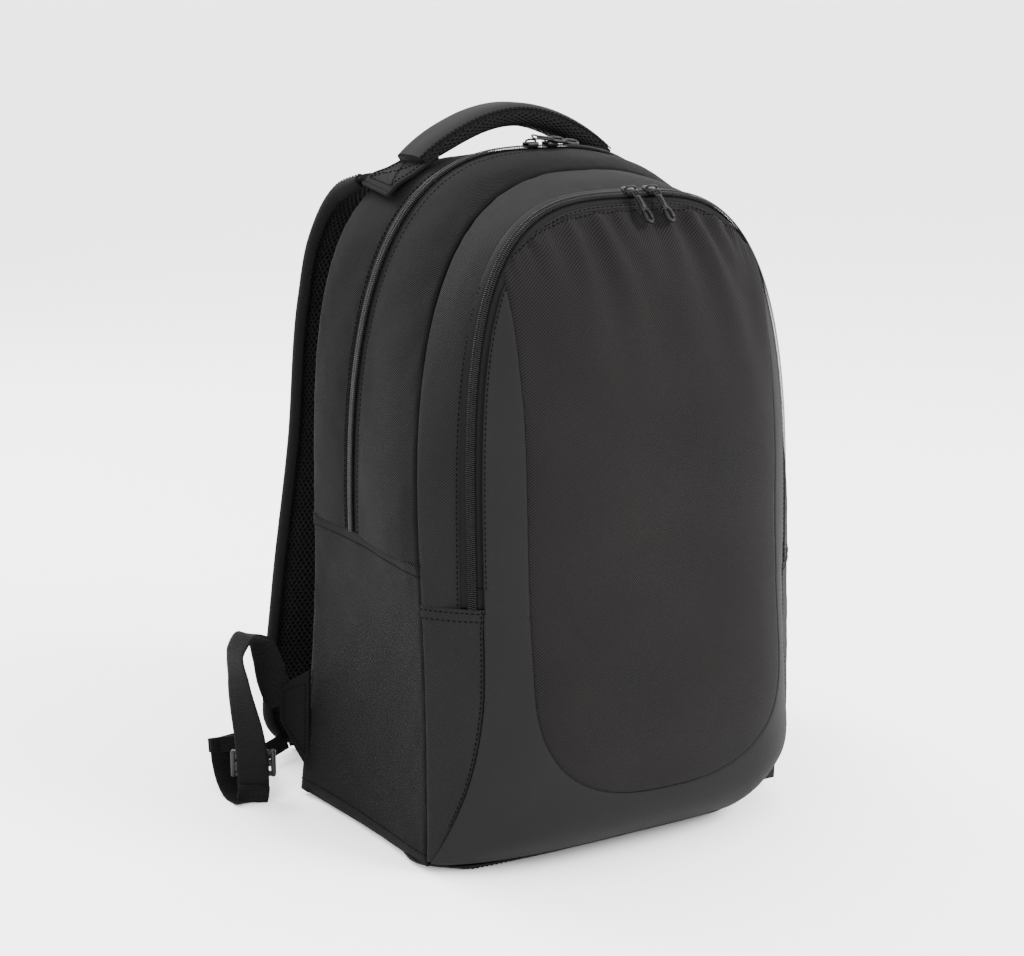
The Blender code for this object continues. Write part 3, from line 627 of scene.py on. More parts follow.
def band(first, second, columns, crown, first_gap=0.0, second_gap=0.0):
    """Points from one seam's line to another's, with an outward crown between them."""
    span = second - first
    length = np.linalg.norm(span, axis=1)[:, None]
    start = first_gap / length
    end = 1 - second_gap / length
    outward = (first + second) / 2 - np.array((0, 0, SHOULDER_Z))
    outward[:, 1] = 0
    outward = unit(outward)
    shares = edge_spaced(columns)
    rows = [first + span * (start + (end - start) * s) + outward * crown * 4 * s * (1 - s) for s in shares]
    return np.stack(rows, axis=1)


def edge_spaced(count):
    """Shares from 0 to 1 that are closer together near both ends."""
    t = np.linspace(0, 1, count)
    even = 0.35
    return t * even + (1 - even) * (1 - np.cos(t * math.pi)) / 2


def across_distances(grid):
    """Distance of each point of a grid from its row's first and last point."""
    along = row_distances(grid)
    return along, along[:, -1:] - along


def relief(grid, seed, sag=0.0011, first_roll=ROLL_DEPTH, second_roll=ROLL_DEPTH, pucker=0.0004):
    """The grid with turned-in edges, slow sags and small puckers along its seams."""
    normals, _ = grid_normals(grid)
    near, far = across_distances(grid)
    edge = np.minimum(near, far)
    inside = smooth(edge / 0.02)
    height = waves(grid, 0.11, seed) * sag * inside + waves(grid, 0.035, seed + 1) * sag * 0.3 * inside
    height += waves(grid, 0.013, seed + 2) * pucker * np.exp(-edge / 0.010) * smooth(edge / 0.002)
    height -= rolled(near, first_roll) + rolled(far, second_roll)
    return grid + normals * height[..., None]


TAPE_EDGE = TAPE - 0.001  # a gusset's fabric overlaps its zip's tape by 1 mm
ARCH_ROWS = 300
PANEL_COLUMNS = 30


def rear_gusset():
    lines = (seam.arch(HEM_Z, ARCH_ROWS) for seam in (BACK, MAIN))
    grid = band(*lines, PANEL_COLUMNS, crown=0.0012, second_gap=TAPE_EDGE)
    grid = relief(grid, 11, second_roll=0.0006)
    on_body(cloth("rear_gusset_fabric", grid, TWILL, LINING), "bag", "twill", "rear_gusset")
    sew_row("bag", rows_at(grid, EDGE_STITCH, False))


def middle_gusset():
    lines = (seam.arch(HEM_Z, ARCH_ROWS) for seam in (MAIN, MIDDLE))
    grid = band(*lines, 40, crown=0.004, first_gap=TAPE_EDGE)
    grid = relief(grid, 21, first_roll=0.0006)
    on_fold(cloth("middle_gusset_fabric", grid, TWILL, LINING), "twill", "middle_gusset")
    sew_row("fold", rows_at(grid, EDGE_STITCH))


def pocket_gusset():
    lines = (seam.arch(POCKET_HEM_Z, ARCH_ROWS) for seam in (MIDDLE, POCKET))
    grid = band(*lines, PANEL_COLUMNS, crown=0.0018, second_gap=TAPE_EDGE)
    grid = relief(grid, 31, second_roll=0.0006)
    on_fold(cloth("pocket_gusset_fabric", grid, PAINTED_LIGHT_GUSSET_TWILL, LINING), "twill", "pocket_gusset")
    sew_row("fold", rows_at(grid, EDGE_STITCH, False))


def side_x(y, z):
    """Half width of the side wall at a depth and height: the curve through the three seams there."""
    back, main, middle = BACK.y(z), MAIN.y(z), MIDDLE.y(z)
    first = BACK.x(z) * (y - main) * (y - middle) / ((back - main) * (back - middle))
    second = MAIN.x(z) * (y - back) * (y - middle) / ((main - back) * (main - middle))
    third = MIDDLE.x(z) * (y - back) * (y - main) / ((middle - back) * (middle - main))
    return first + second + third


SIDE_HEM_ROWS = (0.0028, 0.0105)  # the rows of stitches, down from the top of each hem
GUSSET_HEM_ROWS = (0.0026, 0.0085)
HEM_RISE = 0.0008  # the lower panel's hem lies over the upper one


def side_panel(side, word):
    """The side of the bag below its hem, from the back seam to the middle seam."""
    rows, columns = 90, 60
    z = np.linspace(FLOOR_Z, HEM_Z + 0.003, rows)[:, None] * np.ones((1, columns))
    share = np.ones((rows, 1)) * edge_spaced(columns)[None, :]
    y = BACK.y(z) + (MIDDLE.y(z) - BACK.y(z)) * share
    x = side * side_x(y, z)
    grid = relief(np.stack([x, y, z], axis=2), 40 + side, sag=0.0016)
    normals, _ = grid_normals(grid)
    drop = rolled(z - FLOOR_Z, 0.0035, 0.010)
    lift = HEM_RISE * smooth((z - HEM_Z + 0.012) / 0.010)
    tuck = rolled(HEM_Z + 0.003 - z, 0.0010, 0.0015)
    grid = slumped(grid + normals * (lift - drop - tuck)[..., None])
    nodes = (f"side_wall_{word}", f"side_fold_{word}")
    on_fold(cloth(f"side_panel_{word}", grid, TWILL, LINING), "twill", *nodes)
    for distance in SIDE_HEM_ROWS:
        sew_row("fold", edge_row(grid, distance, False))
    sew_row("bag", edge_row(grid, 0.0110))


def front_edge(z):
    """Half width and depth of the front panel's edge at height z."""
    z = np.asarray(z, float)
    x = np.where(z < POCKET_HEM_Z, through(FRONT_EDGE_X, np.minimum(z, POCKET_HEM_Z)), POCKET.x(z))
    y = np.where(z < POCKET_HEM_Z, through(FRONT_EDGE_Y, np.minimum(z, POCKET_HEM_Z)), POCKET.y(z))
    return x, y


def strip_edge(z):
    """Half width at which the front panel ends: below its zip too, it keeps the zip's half width clear."""
    x, _ = front_edge(z)
    return x - ZIP_SHARE * STRIP_GAP * smooth((z - 0.010) / 0.120)


GUSSET_POINT_Z = 0.010  # the gusset tapers out here, where the side meets the front panel


def slumped(grid):
    """The empty bag's front right bottom corner has sunk in and risen off the floor."""
    x, y, z = grid[..., 0], grid[..., 1], grid[..., 2]
    amount = smooth((x - 0.075) / 0.070) * smooth((0.060 - z) / 0.060) * smooth((0.15 - y) / 0.20)
    return grid + amount[..., None] * np.array((-0.010, 0.004, 0.016))


def lower_gusset(side, word):
    """The gusset that tapers to a point at the bottom corner, between the middle seam and the front panel."""
    rows = 80
    z = np.linspace(GUSSET_POINT_Z, POCKET_HEM_Z + 0.003, rows)
    middle = np.stack([side * MIDDLE.x(z), MIDDLE.y(z), z], axis=1)
    x = strip_edge(z)
    front = np.stack([side * x, front_depth(x, z), z], axis=1)
    grid = relief(band(middle, front, 22, 0.001), 50 + side, sag=0.0008)
    normals, _ = grid_normals(grid)
    lift = HEM_RISE * smooth((grid[..., 2] - POCKET_HEM_Z + 0.012) / 0.010)
    lift -= rolled(grid[..., 2] - FLOOR_Z, 0.003, 0.008)
    grid = slumped(grid + normals * lift[..., None])
    nodes = (f"lower_gusset_{word}", f"gusset_fold_{word}")
    on_fold(cloth(f"lower_gusset_{word}_fabric", grid, PAINTED_LIGHT_GUSSET_TWILL, LINING), "twill", *nodes)
    for distance in GUSSET_HEM_ROWS:
        sew_row("fold", edge_row(grid, distance, False))
    line, up = rows_at(grid, 0.0030, False)
    above = line[:, 2] > 0.035
    threads["fold"].append(stitches(line[above], up[above]))


# ---------------------------------------------------------------- the front panel

INSET_WIDTH = 0.100
INSET_BOTTOM = 0.055
INSET_SIDE_Z = 0.140  # above this height the inset's sides are straight
INSET_POWER = 2.6
INSET_TOP_WIDTH = 0.1325
INSET_TOP = 0.4435


def inset_top(x):
    """Height of the inset's gathered top edge."""
    share = np.clip(np.abs(x) / INSET_TOP_WIDTH, 0, 1)
    return SHOULDER_Z + (INSET_TOP - SHOULDER_Z) * (1 - share**POCKET.power) ** (1 / POCKET.power)


# Folds that run down from the gathered edge: where they start, the way they run, width, length and depth.
GATHERS = (
    (-0.080, -0.06, 0.0050, 0.040, 0.0016),
    (-0.060, -0.10, 0.0055, 0.052, 0.0022),
    (-0.040, 0.05, 0.0060, 0.070, 0.0028),
    (-0.020, 0.18, 0.0050, 0.045, 0.0020),
    (-0.003, 0.02, 0.0045, 0.036, 0.0018),
    (0.015, -0.15, 0.0050, 0.048, 0.0022),
    (0.034, 0.16, 0.0065, 0.080, 0.0034),
    (0.054, 0.24, 0.0060, 0.062, 0.0030),
    (0.074, 0.12, 0.0060, 0.075, 0.0026),
    (0.088, -0.05, 0.0045, 0.035, 0.0016),
)


GATHER_DEPTH = 1.3  # the folds' depths above are taken this many times over


def gathers(x, z):
    """Relief of the folds under the gathered edge."""
    total = np.zeros_like(x)
    for start_x, lean, width, length, depth in GATHERS:
        down = inset_top(np.full(1, start_x))[0] - z
        aside = x - (start_x + lean * down)
        spread = width * (1 + down.clip(0) / length * 0.8)
        fade = smooth((down + 0.004) / 0.012) * np.exp(-(down.clip(0) / length) ** 2)
        total -= GATHER_DEPTH * depth * fade * np.exp(-((aside / spread) ** 2))
        total += GATHER_DEPTH * depth * 0.8 * fade * np.exp(-(((aside - 1.7 * spread) / spread) ** 2))
    edge = inset_top(x) - z
    ruffle = np.sin(x * 2 * math.pi / 0.0085 + 2.0 * np.sin(x * 70))
    return total + 0.00085 * ruffle * np.exp(-(edge.clip(0) / 0.010)) * smooth(edge / 0.003)


def front_depth(x, z):
    """The front panel's surface: its depth at a distance from the middle and a height."""
    edge_x, edge_y = front_edge(z)
    share = np.clip(np.abs(x) / np.maximum(edge_x, 1e-6), 0, 1)
    middle = through(FRONT_LINE, z)
    depth = edge_y + (middle - edge_y) * (1 - share**4)
    place = np.stack([x, np.zeros_like(x), z], axis=-1)
    inside = smooth((1 - share) / 0.25) * smooth((z - FLOOR_Z) / 0.03) * smooth((POCKET.top - z) / 0.05)
    sag = waves(place, 0.14, 61) * 0.0016 + waves(place, 0.045, 62) * 0.0004
    return depth - sag * inside


def distance_to(points, line):
    """Distance of each (x, z) point from a line of such points."""
    flat = points.reshape(-1, 2)
    gap = np.empty(len(flat))
    for start in range(0, len(flat), 4000):
        part = flat[start : start + 4000]
        gap[start : start + 4000] = np.sqrt(((part[:, None] - line[None]) ** 2).sum(axis=2)).min(axis=1)
    return gap.reshape(points.shape[:-1])


def inset_half(z):
    """Half width of the inset at a height."""
    share = np.clip((INSET_SIDE_Z - z) / (INSET_SIDE_Z - INSET_BOTTOM), 0, 1)
    return INSET_WIDTH * (1 - share**INSET_POWER) ** (1 / INSET_POWER)


def inset_lower_line(count):
    """The U of the inset's seam below the cut, from the left round to the right."""
    angle = np.linspace(0, math.pi / 2, 200)
    x = INSET_WIDTH * np.cos(angle) ** (2 / INSET_POWER)
    z = INSET_SIDE_Z - (INSET_SIDE_Z - INSET_BOTTOM) * np.sin(angle) ** (2 / INSET_POWER)
    x = np.concatenate([np.full(40, INSET_WIDTH), x])
    z = np.concatenate([np.linspace(CUT_Z, INSET_SIDE_Z, 41)[:-1], z])
    half = np.stack([-x, z], axis=1)
    return resampled(np.vstack([half, half[-2::-1] * (-1, 1)]), count)


def inset_upper_line(count):
    """The inset's seam above the cut: up the left side, over the gathered edge, and down the right side."""
    corner = inset_top(np.full(1, INSET_WIDTH))[0]
    side = np.stack([np.full(60, -INSET_WIDTH), np.linspace(CUT_Z, corner, 60)], axis=1)
    x = np.linspace(-INSET_WIDTH, 0, 120)[1:]
    half = np.vstack([side, np.stack([x, inset_top(x)], axis=1)])
    return resampled(np.vstack([half, half[-2::-1] * (-1, 1)]), count)


def outer_lower_line(count):
    """The front panel's own edge below the cut, from the left down, along the base, and up the right."""
    z = np.linspace(CUT_Z, FLOOR_Z, 120)
    x = strip_edge(z)
    corner = 0.012
    half = np.stack([-x, z], axis=1)
    bottom = np.stack([np.linspace(half[-1, 0], 0, 80)[1:], np.full(79, FLOOR_Z)], axis=1)
    half = np.vstack([half, bottom])
    near = np.abs(half[:, 1] - FLOOR_Z) + np.abs(half[:, 0] - half[119, 0])
    half[:, 1] += 0.004 * np.exp(-near / corner)
    return resampled(np.vstack([half, half[-2::-1] * (-1, 1)]), count)


STRIP_GAP = 0.0074  # the fabric's edge lies this far in from the coil's middle, measured on the tape
ZIP_SHARE = 0.66  # the front tape lies on a slope, so it is this much narrower seen from the front


def zip_line(distance, start_z, count):
    """The line on the front panel a distance in from the pocket's seam."""
    arch = POCKET.arch(start_z, count)
    flat = arch[:, (0, 2)]
    along = tangents(flat)
    inward = np.stack([along[:, 1], -along[:, 0]], axis=1)
    return flat + inward * distance * ZIP_SHARE


def on_front(flat):
    """Points of the front panel's surface at (x, z) points."""
    return np.stack([flat[..., 0], front_depth(flat[..., 0], flat[..., 1]), flat[..., 1]], axis=-1)


def strip_grid(inner, outer, columns):
    shares = edge_spaced(columns)
    return np.stack([inner + (outer - inner) * s for s in shares], axis=1)


def beside_inset(outer):
    """The points of the inset's seam level with, or below, the points of the strip's outer edge."""
    x = np.clip(outer[:, 0], -INSET_WIDTH, INSET_WIDTH)
    return np.stack([x, np.minimum(outer[:, 1], inset_top(x))], axis=1)


def front_strips():
    """The smooth fabric round the inset, below and above the cut."""
    inner = inset_lower_line(300)
    flat = strip_grid(inner, outer_lower_line(300), 34)
    grid = on_front(flat)
    grid = finished_strip(grid, 0.0)
    turn = rolled(grid[..., 2] - FLOOR_Z, 0.004, 0.009)
    normals, _ = grid_normals(grid)
    grid = slumped(grid - normals * turn[..., None])
    piece = cloth("front_strip_lower", grid, FINE, LINING, keep_normals=True)
    on_fold(piece, "fine_fabric", "front_panel_lower", "front_fold")
    outer = zip_line(STRIP_GAP, CUT_Z, 420)
    outer[0, 1] = outer[-1, 1] = CUT_Z
    inner = beside_inset(outer)
    flat = strip_grid(inner, outer, 24)
    grid = finished_strip(on_front(flat), 0.0006)
    piece = cloth("front_strip_upper", grid, FINE, LINING, keep_normals=True)
    on_flap_fold(piece, "fine_fabric")
    sew_row("flap", rows_at(grid, EDGE_STITCH, False))


def finished_strip(grid, lift):
    """Turned-in edge along the inset's seam, and the far edge lifted over the tape."""
    normals, _ = grid_normals(grid)
    near, far = across_distances(grid)
    height = lift * smooth(1 - far / 0.008) - rolled(near, 0.0013, 0.003) - rolled(far, 0.0010, 0.002)
    return grid + normals * height[..., None]


def front_insets():
    """The coarser twill inset, below and above the cut."""
    angle = np.linspace(0.02, math.pi / 2, 60)
    low = INSET_SIDE_Z - (INSET_SIDE_Z - INSET_BOTTOM) * np.cos(angle) ** (2 / INSET_POWER)
    step = 0.0015
    straight = np.arange(INSET_SIDE_Z + step, CUT_Z - step / 2, step)
    heights = np.concatenate([low, straight, [CUT_Z, CUT_Z + step]])
    shares = edge_spaced(110) * 2 - 1
    x = inset_half(heights)[:, None] * shares[None, :]
    z = heights[:, None] * np.ones((1, len(shares)))
    grid = finished_inset(np.stack([x, z], axis=2), inset_lower_line(400))
    piece = inset_cloth("front_inset_lower", grid, (0, 1))
    on_fold(piece, "front_twill")
    rise = np.concatenate([[-step], np.linspace(0, 1, 150)])
    x = INSET_WIDTH * shares[None, :] * np.ones((len(rise), 1))
    top = inset_top(x)
    z = np.where(rise[:, None] < 0, CUT_Z - step, CUT_Z + (top - CUT_Z) * rise[:, None])
    grid = finished_inset(np.stack([x, z], axis=2), inset_upper_line(500))
    piece = inset_cloth("front_inset_upper", grid, (1, 0))
    on_flap_fold(piece, "front_twill", "front_panel_upper")
    sew_row("flap", edge_row(grid, 0.0028, False))


def inset_cloth(name, grid, crop):
    """The inset is cut from one straight piece of cloth, so its weave runs straight across its folds."""
    weave = grid[..., (2, 0)]
    return cloth(name, grid, INSET_TWILL, LINING, crop=crop, keep_normals=True, uv=weave)


def finished_inset(flat, seam_line):
    x, z = flat[..., 0], flat[..., 1]
    grid = on_front(flat)
    normals, _ = grid_normals(grid)
    gap = distance_to(flat, seam_line)
    inside = smooth(gap / 0.004)
    height = gathers(x, z) * inside - rolled(gap, 0.0014, 0.0035) + 0.0004 * inside
    return grid + normals * height[..., None]


# ---------------------------------------------------------------- zips

COIL_PITCH = 0.00135
COIL_SINK = 0.0005  # how far the coils' plane lies below the seam
COIL_MESH = 0.0008  # how far the two coils reach into each other
COIL_HALF = 0.0021  # half the width of one side's coil
COIL_HEIGHT = 0.0011
COIL_FLATNESS = 0.45  # below 1, a turn is flatter on top than an ellipse is
WIRE = 0.00035
COIL_STEPS = 8  # points in one turn of the coil


def coil(line, side, up, phase):
    """One side's coil: a flattened helix of nylon wire along a line. side points away from the other half."""
    length = length_of(line)
    count = int(length / COIL_PITCH) * COIL_STEPS
    path = resampled(np.hstack([line, side, up]), count)
    middle, side, up = path[:, :3], path[:, 3:6], path[:, 6:]
    along = tangents(middle)
    angle = (np.arange(count) / COIL_STEPS * 2 * math.pi + phase)[:, None]
    radial = side * np.cos(angle) + up * np.sin(angle)
    rise = np.sign(np.sin(angle)) * np.abs(np.sin(angle)) ** COIL_FLATNESS
    reach = side * np.cos(angle) * (COIL_HALF - WIRE) + up * rise * COIL_HEIGHT
    centre = middle + side * COIL_HALF + up * (COIL_HEIGHT + 0.0003) + reach
    corners = np.linspace(0, 2 * math.pi, 6)[:5]
    rings = [centre + (radial * math.cos(a) + along * math.sin(a)) * WIRE for a in corners]
    return tube(np.stack(rings, axis=1))


def tape(line, flat, toward, up, width, sink):
    """A strip of woven tape: it starts in the coil's plane, then turns to lie on, or under, its panel."""
    rows = []
    for share in np.linspace(0.0, 1.0, 13):
        on_panel = float(smooth(np.array((share - 0.30) / 0.5)))
        way = flat * (1 - on_panel) + toward * on_panel
        rows.append(unit(way) * width / 12 if rows else line)
    strip = np.cumsum(np.stack(rows, axis=1), axis=1)
    sunk = smooth((np.linspace(0.0, 1.0, 13) - 0.35) / 0.4)
    return strip - up[:, None] * sink * sunk[None, :, None]


def seam_frame(seam, other, start_z, count):
    """A seam's line, and unit vectors towards another seam and out of the surface between the two."""
    line = seam.arch(start_z, count)
    toward = other.arch(start_z, count) - line
    toward = unit(toward)
    along = tangents(line)
    toward = square_to(toward, along)
    up = np.cross(along, toward)
    outward = line - np.array((0, 0, SHOULDER_Z))
    outward[:, 1] = 0
    up *= np.sign((up * outward).sum(axis=1, keepdims=True))
    return line, toward, up


def zip_half(name, line, toward, up, other_up, phase, sink=0.0):
    """One half of a zip. Both halves' coils lie in one plane, square to the mean of up and other_up."""
    facing = unit(up + other_up)
    flat = square_to(toward, facing)
    line = line - facing * COIL_SINK
    strip = tape(line + flat * 0.0003, flat, toward, up, TAPE + 0.001, sink)
    strip = cloth(f"{name}_tape", strip, ZIP_TAPE, ZIP_TAPE, 0.0006)
    wire = solid(f"{name}_coil", [coil(line - flat * COIL_MESH, flat, facing, phase)], COIL)
    return strip, wire


ZIP_POINTS = 400
END_POINTS = 1200  # the pocket zip is split, so its line needs more points


def main_zip():
    rear = seam_frame(MAIN, BACK, HEM_Z, ZIP_POINTS)
    front = seam_frame(MAIN, MIDDLE, HEM_Z, ZIP_POINTS)
    pieces = zip_half("main_zip_rear", *rear, front[2], 0.0)
    for piece in pieces:
        on_body(piece, "bag", "zip_tape")
    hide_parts("main_zip_rear")
    pieces = zip_half("main_zip_front", *front, rear[2], math.pi)
    for piece in pieces:
        on_fold(piece, "zip_tape")
    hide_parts("main_zip_front")


TAPE_SINK = 0.0022  # the front tape lies behind the front panel's fabric


def front_tape_frame(start_z, count):
    """The pocket zip's front half follows the front panel's own slope."""
    line = on_front(zip_line(0.0, start_z, count))
    inner = on_front(zip_line(0.004, start_z, count))
    toward = inner - line
    toward = unit(toward)
    along = tangents(line)
    toward = square_to(toward, along)
    up = np.cross(along, toward)
    up *= np.sign((up * (0, -1, 0)).sum(axis=1, keepdims=True))
    return line, toward, up


def pocket_zip():
    """The front half is in three pieces: the flap's, and a short end below the flap on each side."""
    start_z = POCKET_HEM_Z + 0.003
    rear = seam_frame(POCKET, MIDDLE, start_z, END_POINTS)
    front = (rear[0], *front_tape_frame(start_z, END_POINTS)[1:])
    pieces = zip_half("pocket_zip_rear", *rear, front[2], 0.0)
    for piece in pieces:
        on_fold(piece, "zip_tape")
    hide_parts("pocket_zip_rear")
    flap = front[0][:, 2] >= CUT_Z
    pieces = zip_half("pocket_zip_front", *(part[flap] for part in (*front, rear[2])), math.pi, TAPE_SINK)
    for piece in pieces:
        on_flap_fold(piece, "zip_tape")
    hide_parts("pocket_zip_front")
    for side, word in SIDES:
        end = (front[0][:, 2] <= CUT_Z + 0.0015) & (np.sign(front[0][:, 0]) == side)
        parts = (part[end] for part in (*front, rear[2]))
        for piece in zip_half(f"pocket_zip_front_{word}_end", *parts, math.pi, TAPE_SINK):
            on_fold(piece, "zip_tape")


# ---------------------------------------------------------------- sliders and pulls


def plate(place, outline, low, high, edge=0.0004):
    """A flat plate with softened edges. outline is (along, across) points."""
    middle, along, across, up = place
    outline = np.array(outline, float)
    inner = outline * (1 - edge / np.abs(outline).max(axis=0))
    rings = []
    for shape, height in ((inner, low), (outline, low + edge), (outline, high - edge), (inner, high)):
        rings.append([middle + along * a + across * b + up * height for a, b in shape])
    return tube(rings)


def round_outline(length, width, corner, steps=4):
    """A rectangle with round corners, as (along, across) points."""
    points = []
    for a, b, start in ((1, 1, 0), (-1, 1, 90), (-1, -1, 180), (1, -1, 270)):
        for i in range(steps + 1):
            angle = math.radians(start + 90 * i / steps)
            x = a * (length / 2 - corner) + corner * math.cos(angle)
            y = b * (width / 2 - corner) + corner * math.sin(angle)
            points.append((x, y))
    return points


def rod(path, radius, sides=8):
    """A round rod along a path of points."""
    path = np.array(path, float)
    along = tangents(path)
    first = unit(np.cross(along, (0.31, 0.57, 0.76)))
    second = np.cross(along, first)
    angles = np.linspace(0, 2 * math.pi, sides + 1)[:-1]
    rings = [path + (first * math.cos(a) + second * math.sin(a)) * radius for a in angles]
    return tube(np.stack(rings, axis=1))


def loop_path(place, centre_along, length, width, height, steps=24):
    """A closed flat loop in the along-across plane, as a path that ends where it starts."""
    middle, along, across, up = place
    angles = np.linspace(0, 2 * math.pi, steps + 1)
    path = []
    for angle in angles:
        a = length / 2 * math.copysign(abs(math.cos(angle)) ** 0.7, math.cos(angle))
        b = width / 2 * math.copysign(abs(math.sin(angle)) ** 0.7, math.sin(angle))
        path.append(middle + along * (centre_along + a) + across * b + up * height)
    return path


def slider_parts(place):
    """A slider: two plates with a waist between them, side guides and a bail over the top."""
    middle, along, across, up = place
    top = plate(place, round_outline(0.0112, 0.0088, 0.0030), 0.0001, 0.0013)
    bottom = plate(place, round_outline(0.0104, 0.0082, 0.0026), -0.0024, -0.0013)
    guides = []
    for sign in (-1, 1):
        rail = (middle + across * sign * 0.0041, along, across, up)
        guides.append(plate(rail, round_outline(0.0085, 0.0009, 0.0004), -0.0018, 0.0009, 0.0002))
    bail = []
    for share in np.linspace(0, math.pi, 13):
        rise = 0.0010 + 0.0022 * math.sin(share) ** 0.6
        bail.append(middle + along * -0.0042 * math.cos(share) + up * rise)
    return [top, bottom, *guides, rod(bail, 0.00075)]


def pull_parts(hinge, along, across, up, length):
    """A pull: a slotted bar with a ring at the bail and a six-sided slotted end."""
    place = (hinge, along, across, up)
    ring = rod(loop_path(place, 0.0022, 0.0056, 0.0048, 0.0), 0.00065)
    shank = (hinge + along * 0.0095, along, across, up)
    neck = plate(shank, round_outline(0.0120, 0.0044, 0.0013), -0.0008, 0.0008)
    spine = plate(shank, round_outline(0.0098, 0.0015, 0.0006), 0.0007, 0.0013, 0.0001)
    end = rod(six_sided(hinge + along * (length - 0.0070), along, across), 0.00130)
    return [ring, neck, spine, end]


def six_sided(centre, along, across):
    half = ((-0.0058, 0.0), (-0.0036, 0.0022), (0.0034, 0.0024), (0.0057, 0.0))
    corners = half + tuple((a, -b) for a, b in half[2:0:-1])
    path = []
    for (a0, b0), (a1, b1) in zip(corners, corners[1:] + corners[:1]):
        for share in (0.12, 0.5, 0.88):
            path.append(centre + along * (a0 + (a1 - a0) * share) + across * (b0 + (b1 - b0) * share))
    return path + [path[0]]


SLIDER_X = {"main": (-0.006, 0.010), "pocket": (0.003, 0.020)}
LEAN = {"main": 0.0, "pocket": math.radians(22)}
PULL_RISE = {"main": (0.0024, 0.0), "pocket": (0.0, 0.0)}
PULL_SHIFT = {"main": (-0.0031, 0.0031), "pocket": (0.0, 0.0)}
PULL_LENGTH = 0.0270
SLIDER_TOP = 0.0046  # height of a slider's top over its zip


def top_frame(seam, x, lean):
    """Frame of a slider on the top of an arch."""
    rise = float(seam.z(x + 0.004) - seam.z(x - 0.004)) / 0.008
    along = np.array((1.0, 0.0, rise)) / math.hypot(1, rise)
    up = np.array((0.0, -math.sin(lean), math.cos(lean)))
    up = square_to(up, along)
    z = float(seam.z(x))
    return np.array((x, float(seam.y(z)), z)), along, np.cross(up, along), up


def sliders(kind, seam):
    for i, letter in enumerate("ab"):
        place, along, across, up = top_frame(seam, SLIDER_X[kind][i], LEAN[kind])
        body = (place + up * 0.0030, along, across, up)
        piece = solid(f"{kind}_slider_{letter}_metal", slider_parts(body), METAL)
        on_body(piece, f"{kind}_slider_{letter}", "black_metal", f"{kind}_slider_{letter}")
        if kind == "main":
            hinge = place + up * (SLIDER_TOP + 0.0012 + PULL_RISE[kind][i]) + across * PULL_SHIFT[kind][i]
            slope = math.radians(8)
            way = along * math.cos(slope) - up * math.sin(slope)
            face = up * 0.85 - across * 0.5
        else:
            face = np.array((0.0, -0.78, 0.62))
            hinge = place + up * SLIDER_TOP - across * 0.0048 + face * 0.0008
            way = np.array((0.10, -0.66, -0.75))
        way = unit(way)
        face = square_to(face, way)
        parts = pull_parts(hinge, way, np.cross(face, way), face, PULL_LENGTH)
        pull = solid(f"{kind}_pull_{letter}_metal", parts, METAL)
        on_body(pull, f"{kind}_pull_{letter}", "black_metal", f"{kind}_pull_{letter}")


# ---------------------------------------------------------------- air mesh


def sampled(grid, normals, a, b):
    """Points and normals of a grid at row and column shares a and b."""
    rows, columns = grid.shape[:2]
    r = np.clip(a * (rows - 1), 0, rows - 1.0001)
    c = np.clip(b * (columns - 1), 0, columns - 1.0001)
    i, j = r.astype(int), c.astype(int)
    s, t = (r - i)[..., None], (c - j)[..., None]

    def mixed(values):
        low = values[i, j] * (1 - t) + values[i, j + 1] * t
        high = values[i + 1, j] * (1 - t) + values[i + 1, j + 1] * t
        return low * (1 - s) + high * s

    return mixed(grid), mixed(normals)


def air_mesh(grid, normals, pitch, height):
    """A knitted mesh with six-sided holes, standing on a grid of points."""
    length = np.linalg.norm(np.diff(grid[:, grid.shape[1] // 2], axis=0), axis=1).sum()
    width = length_of(grid[len(grid) // 2])
    row_step = pitch * math.sqrt(3) / 2
    rows, columns = int(length / row_step), int(width / pitch)
    i, j = np.meshgrid(np.arange(1, rows - 1), np.arange(1, columns - 1), indexing="ij")
    u = (i * row_step).ravel()
    v = ((j + 0.5 * (i % 2)) * pitch).ravel()
    angles = np.radians(np.arange(6) * 60 + 30)
    reach = pitch / math.sqrt(3)
    rings = []
    for size, high in ((1.0, 1.0), (0.80, 0.8), (0.60, 0.0)):
        a = (u[:, None] + np.sin(angles) * reach * size) / length
        b = (v[:, None] + np.cos(angles) * reach * size) / width
        place, out = sampled(grid, normals, a, b)
        rings.append(place + out * height * high)
    points = np.stack(rings, axis=1)
    one = grid_faces(3, 6, wrapped=True)
    faces = one[None] + (np.arange(len(u)) * 18)[:, None, None]
    spread = 0.0004 * np.tile(np.arange(18), len(u))[:, None]
    uv = np.stack([np.repeat(u, 18), np.repeat(v, 18)], axis=1) + spread
    return points.reshape(-1, 3), faces.reshape(-1, 4), uv


def mesh_layer(name, grid, centre, pitch, height):
    """The air mesh over a grid, with its faces looking away from centre."""
    normals, _ = grid_normals(grid, centre)
    points, faces, uv = air_mesh(grid, normals, pitch, height)
    p = points[faces]
    out = np.cross(p[:, 1] - p[:, 0], p[:, 2] - p[:, 0]).sum(axis=0)
    if out @ normals.sum(axis=(0, 1)) < 0:
        faces = faces[:, ::-1]
    return mesh_object(name, points, faces, uv, [MESH])


# ---------------------------------------------------------------- back, base and inside

BACK_INSET = 0.0015


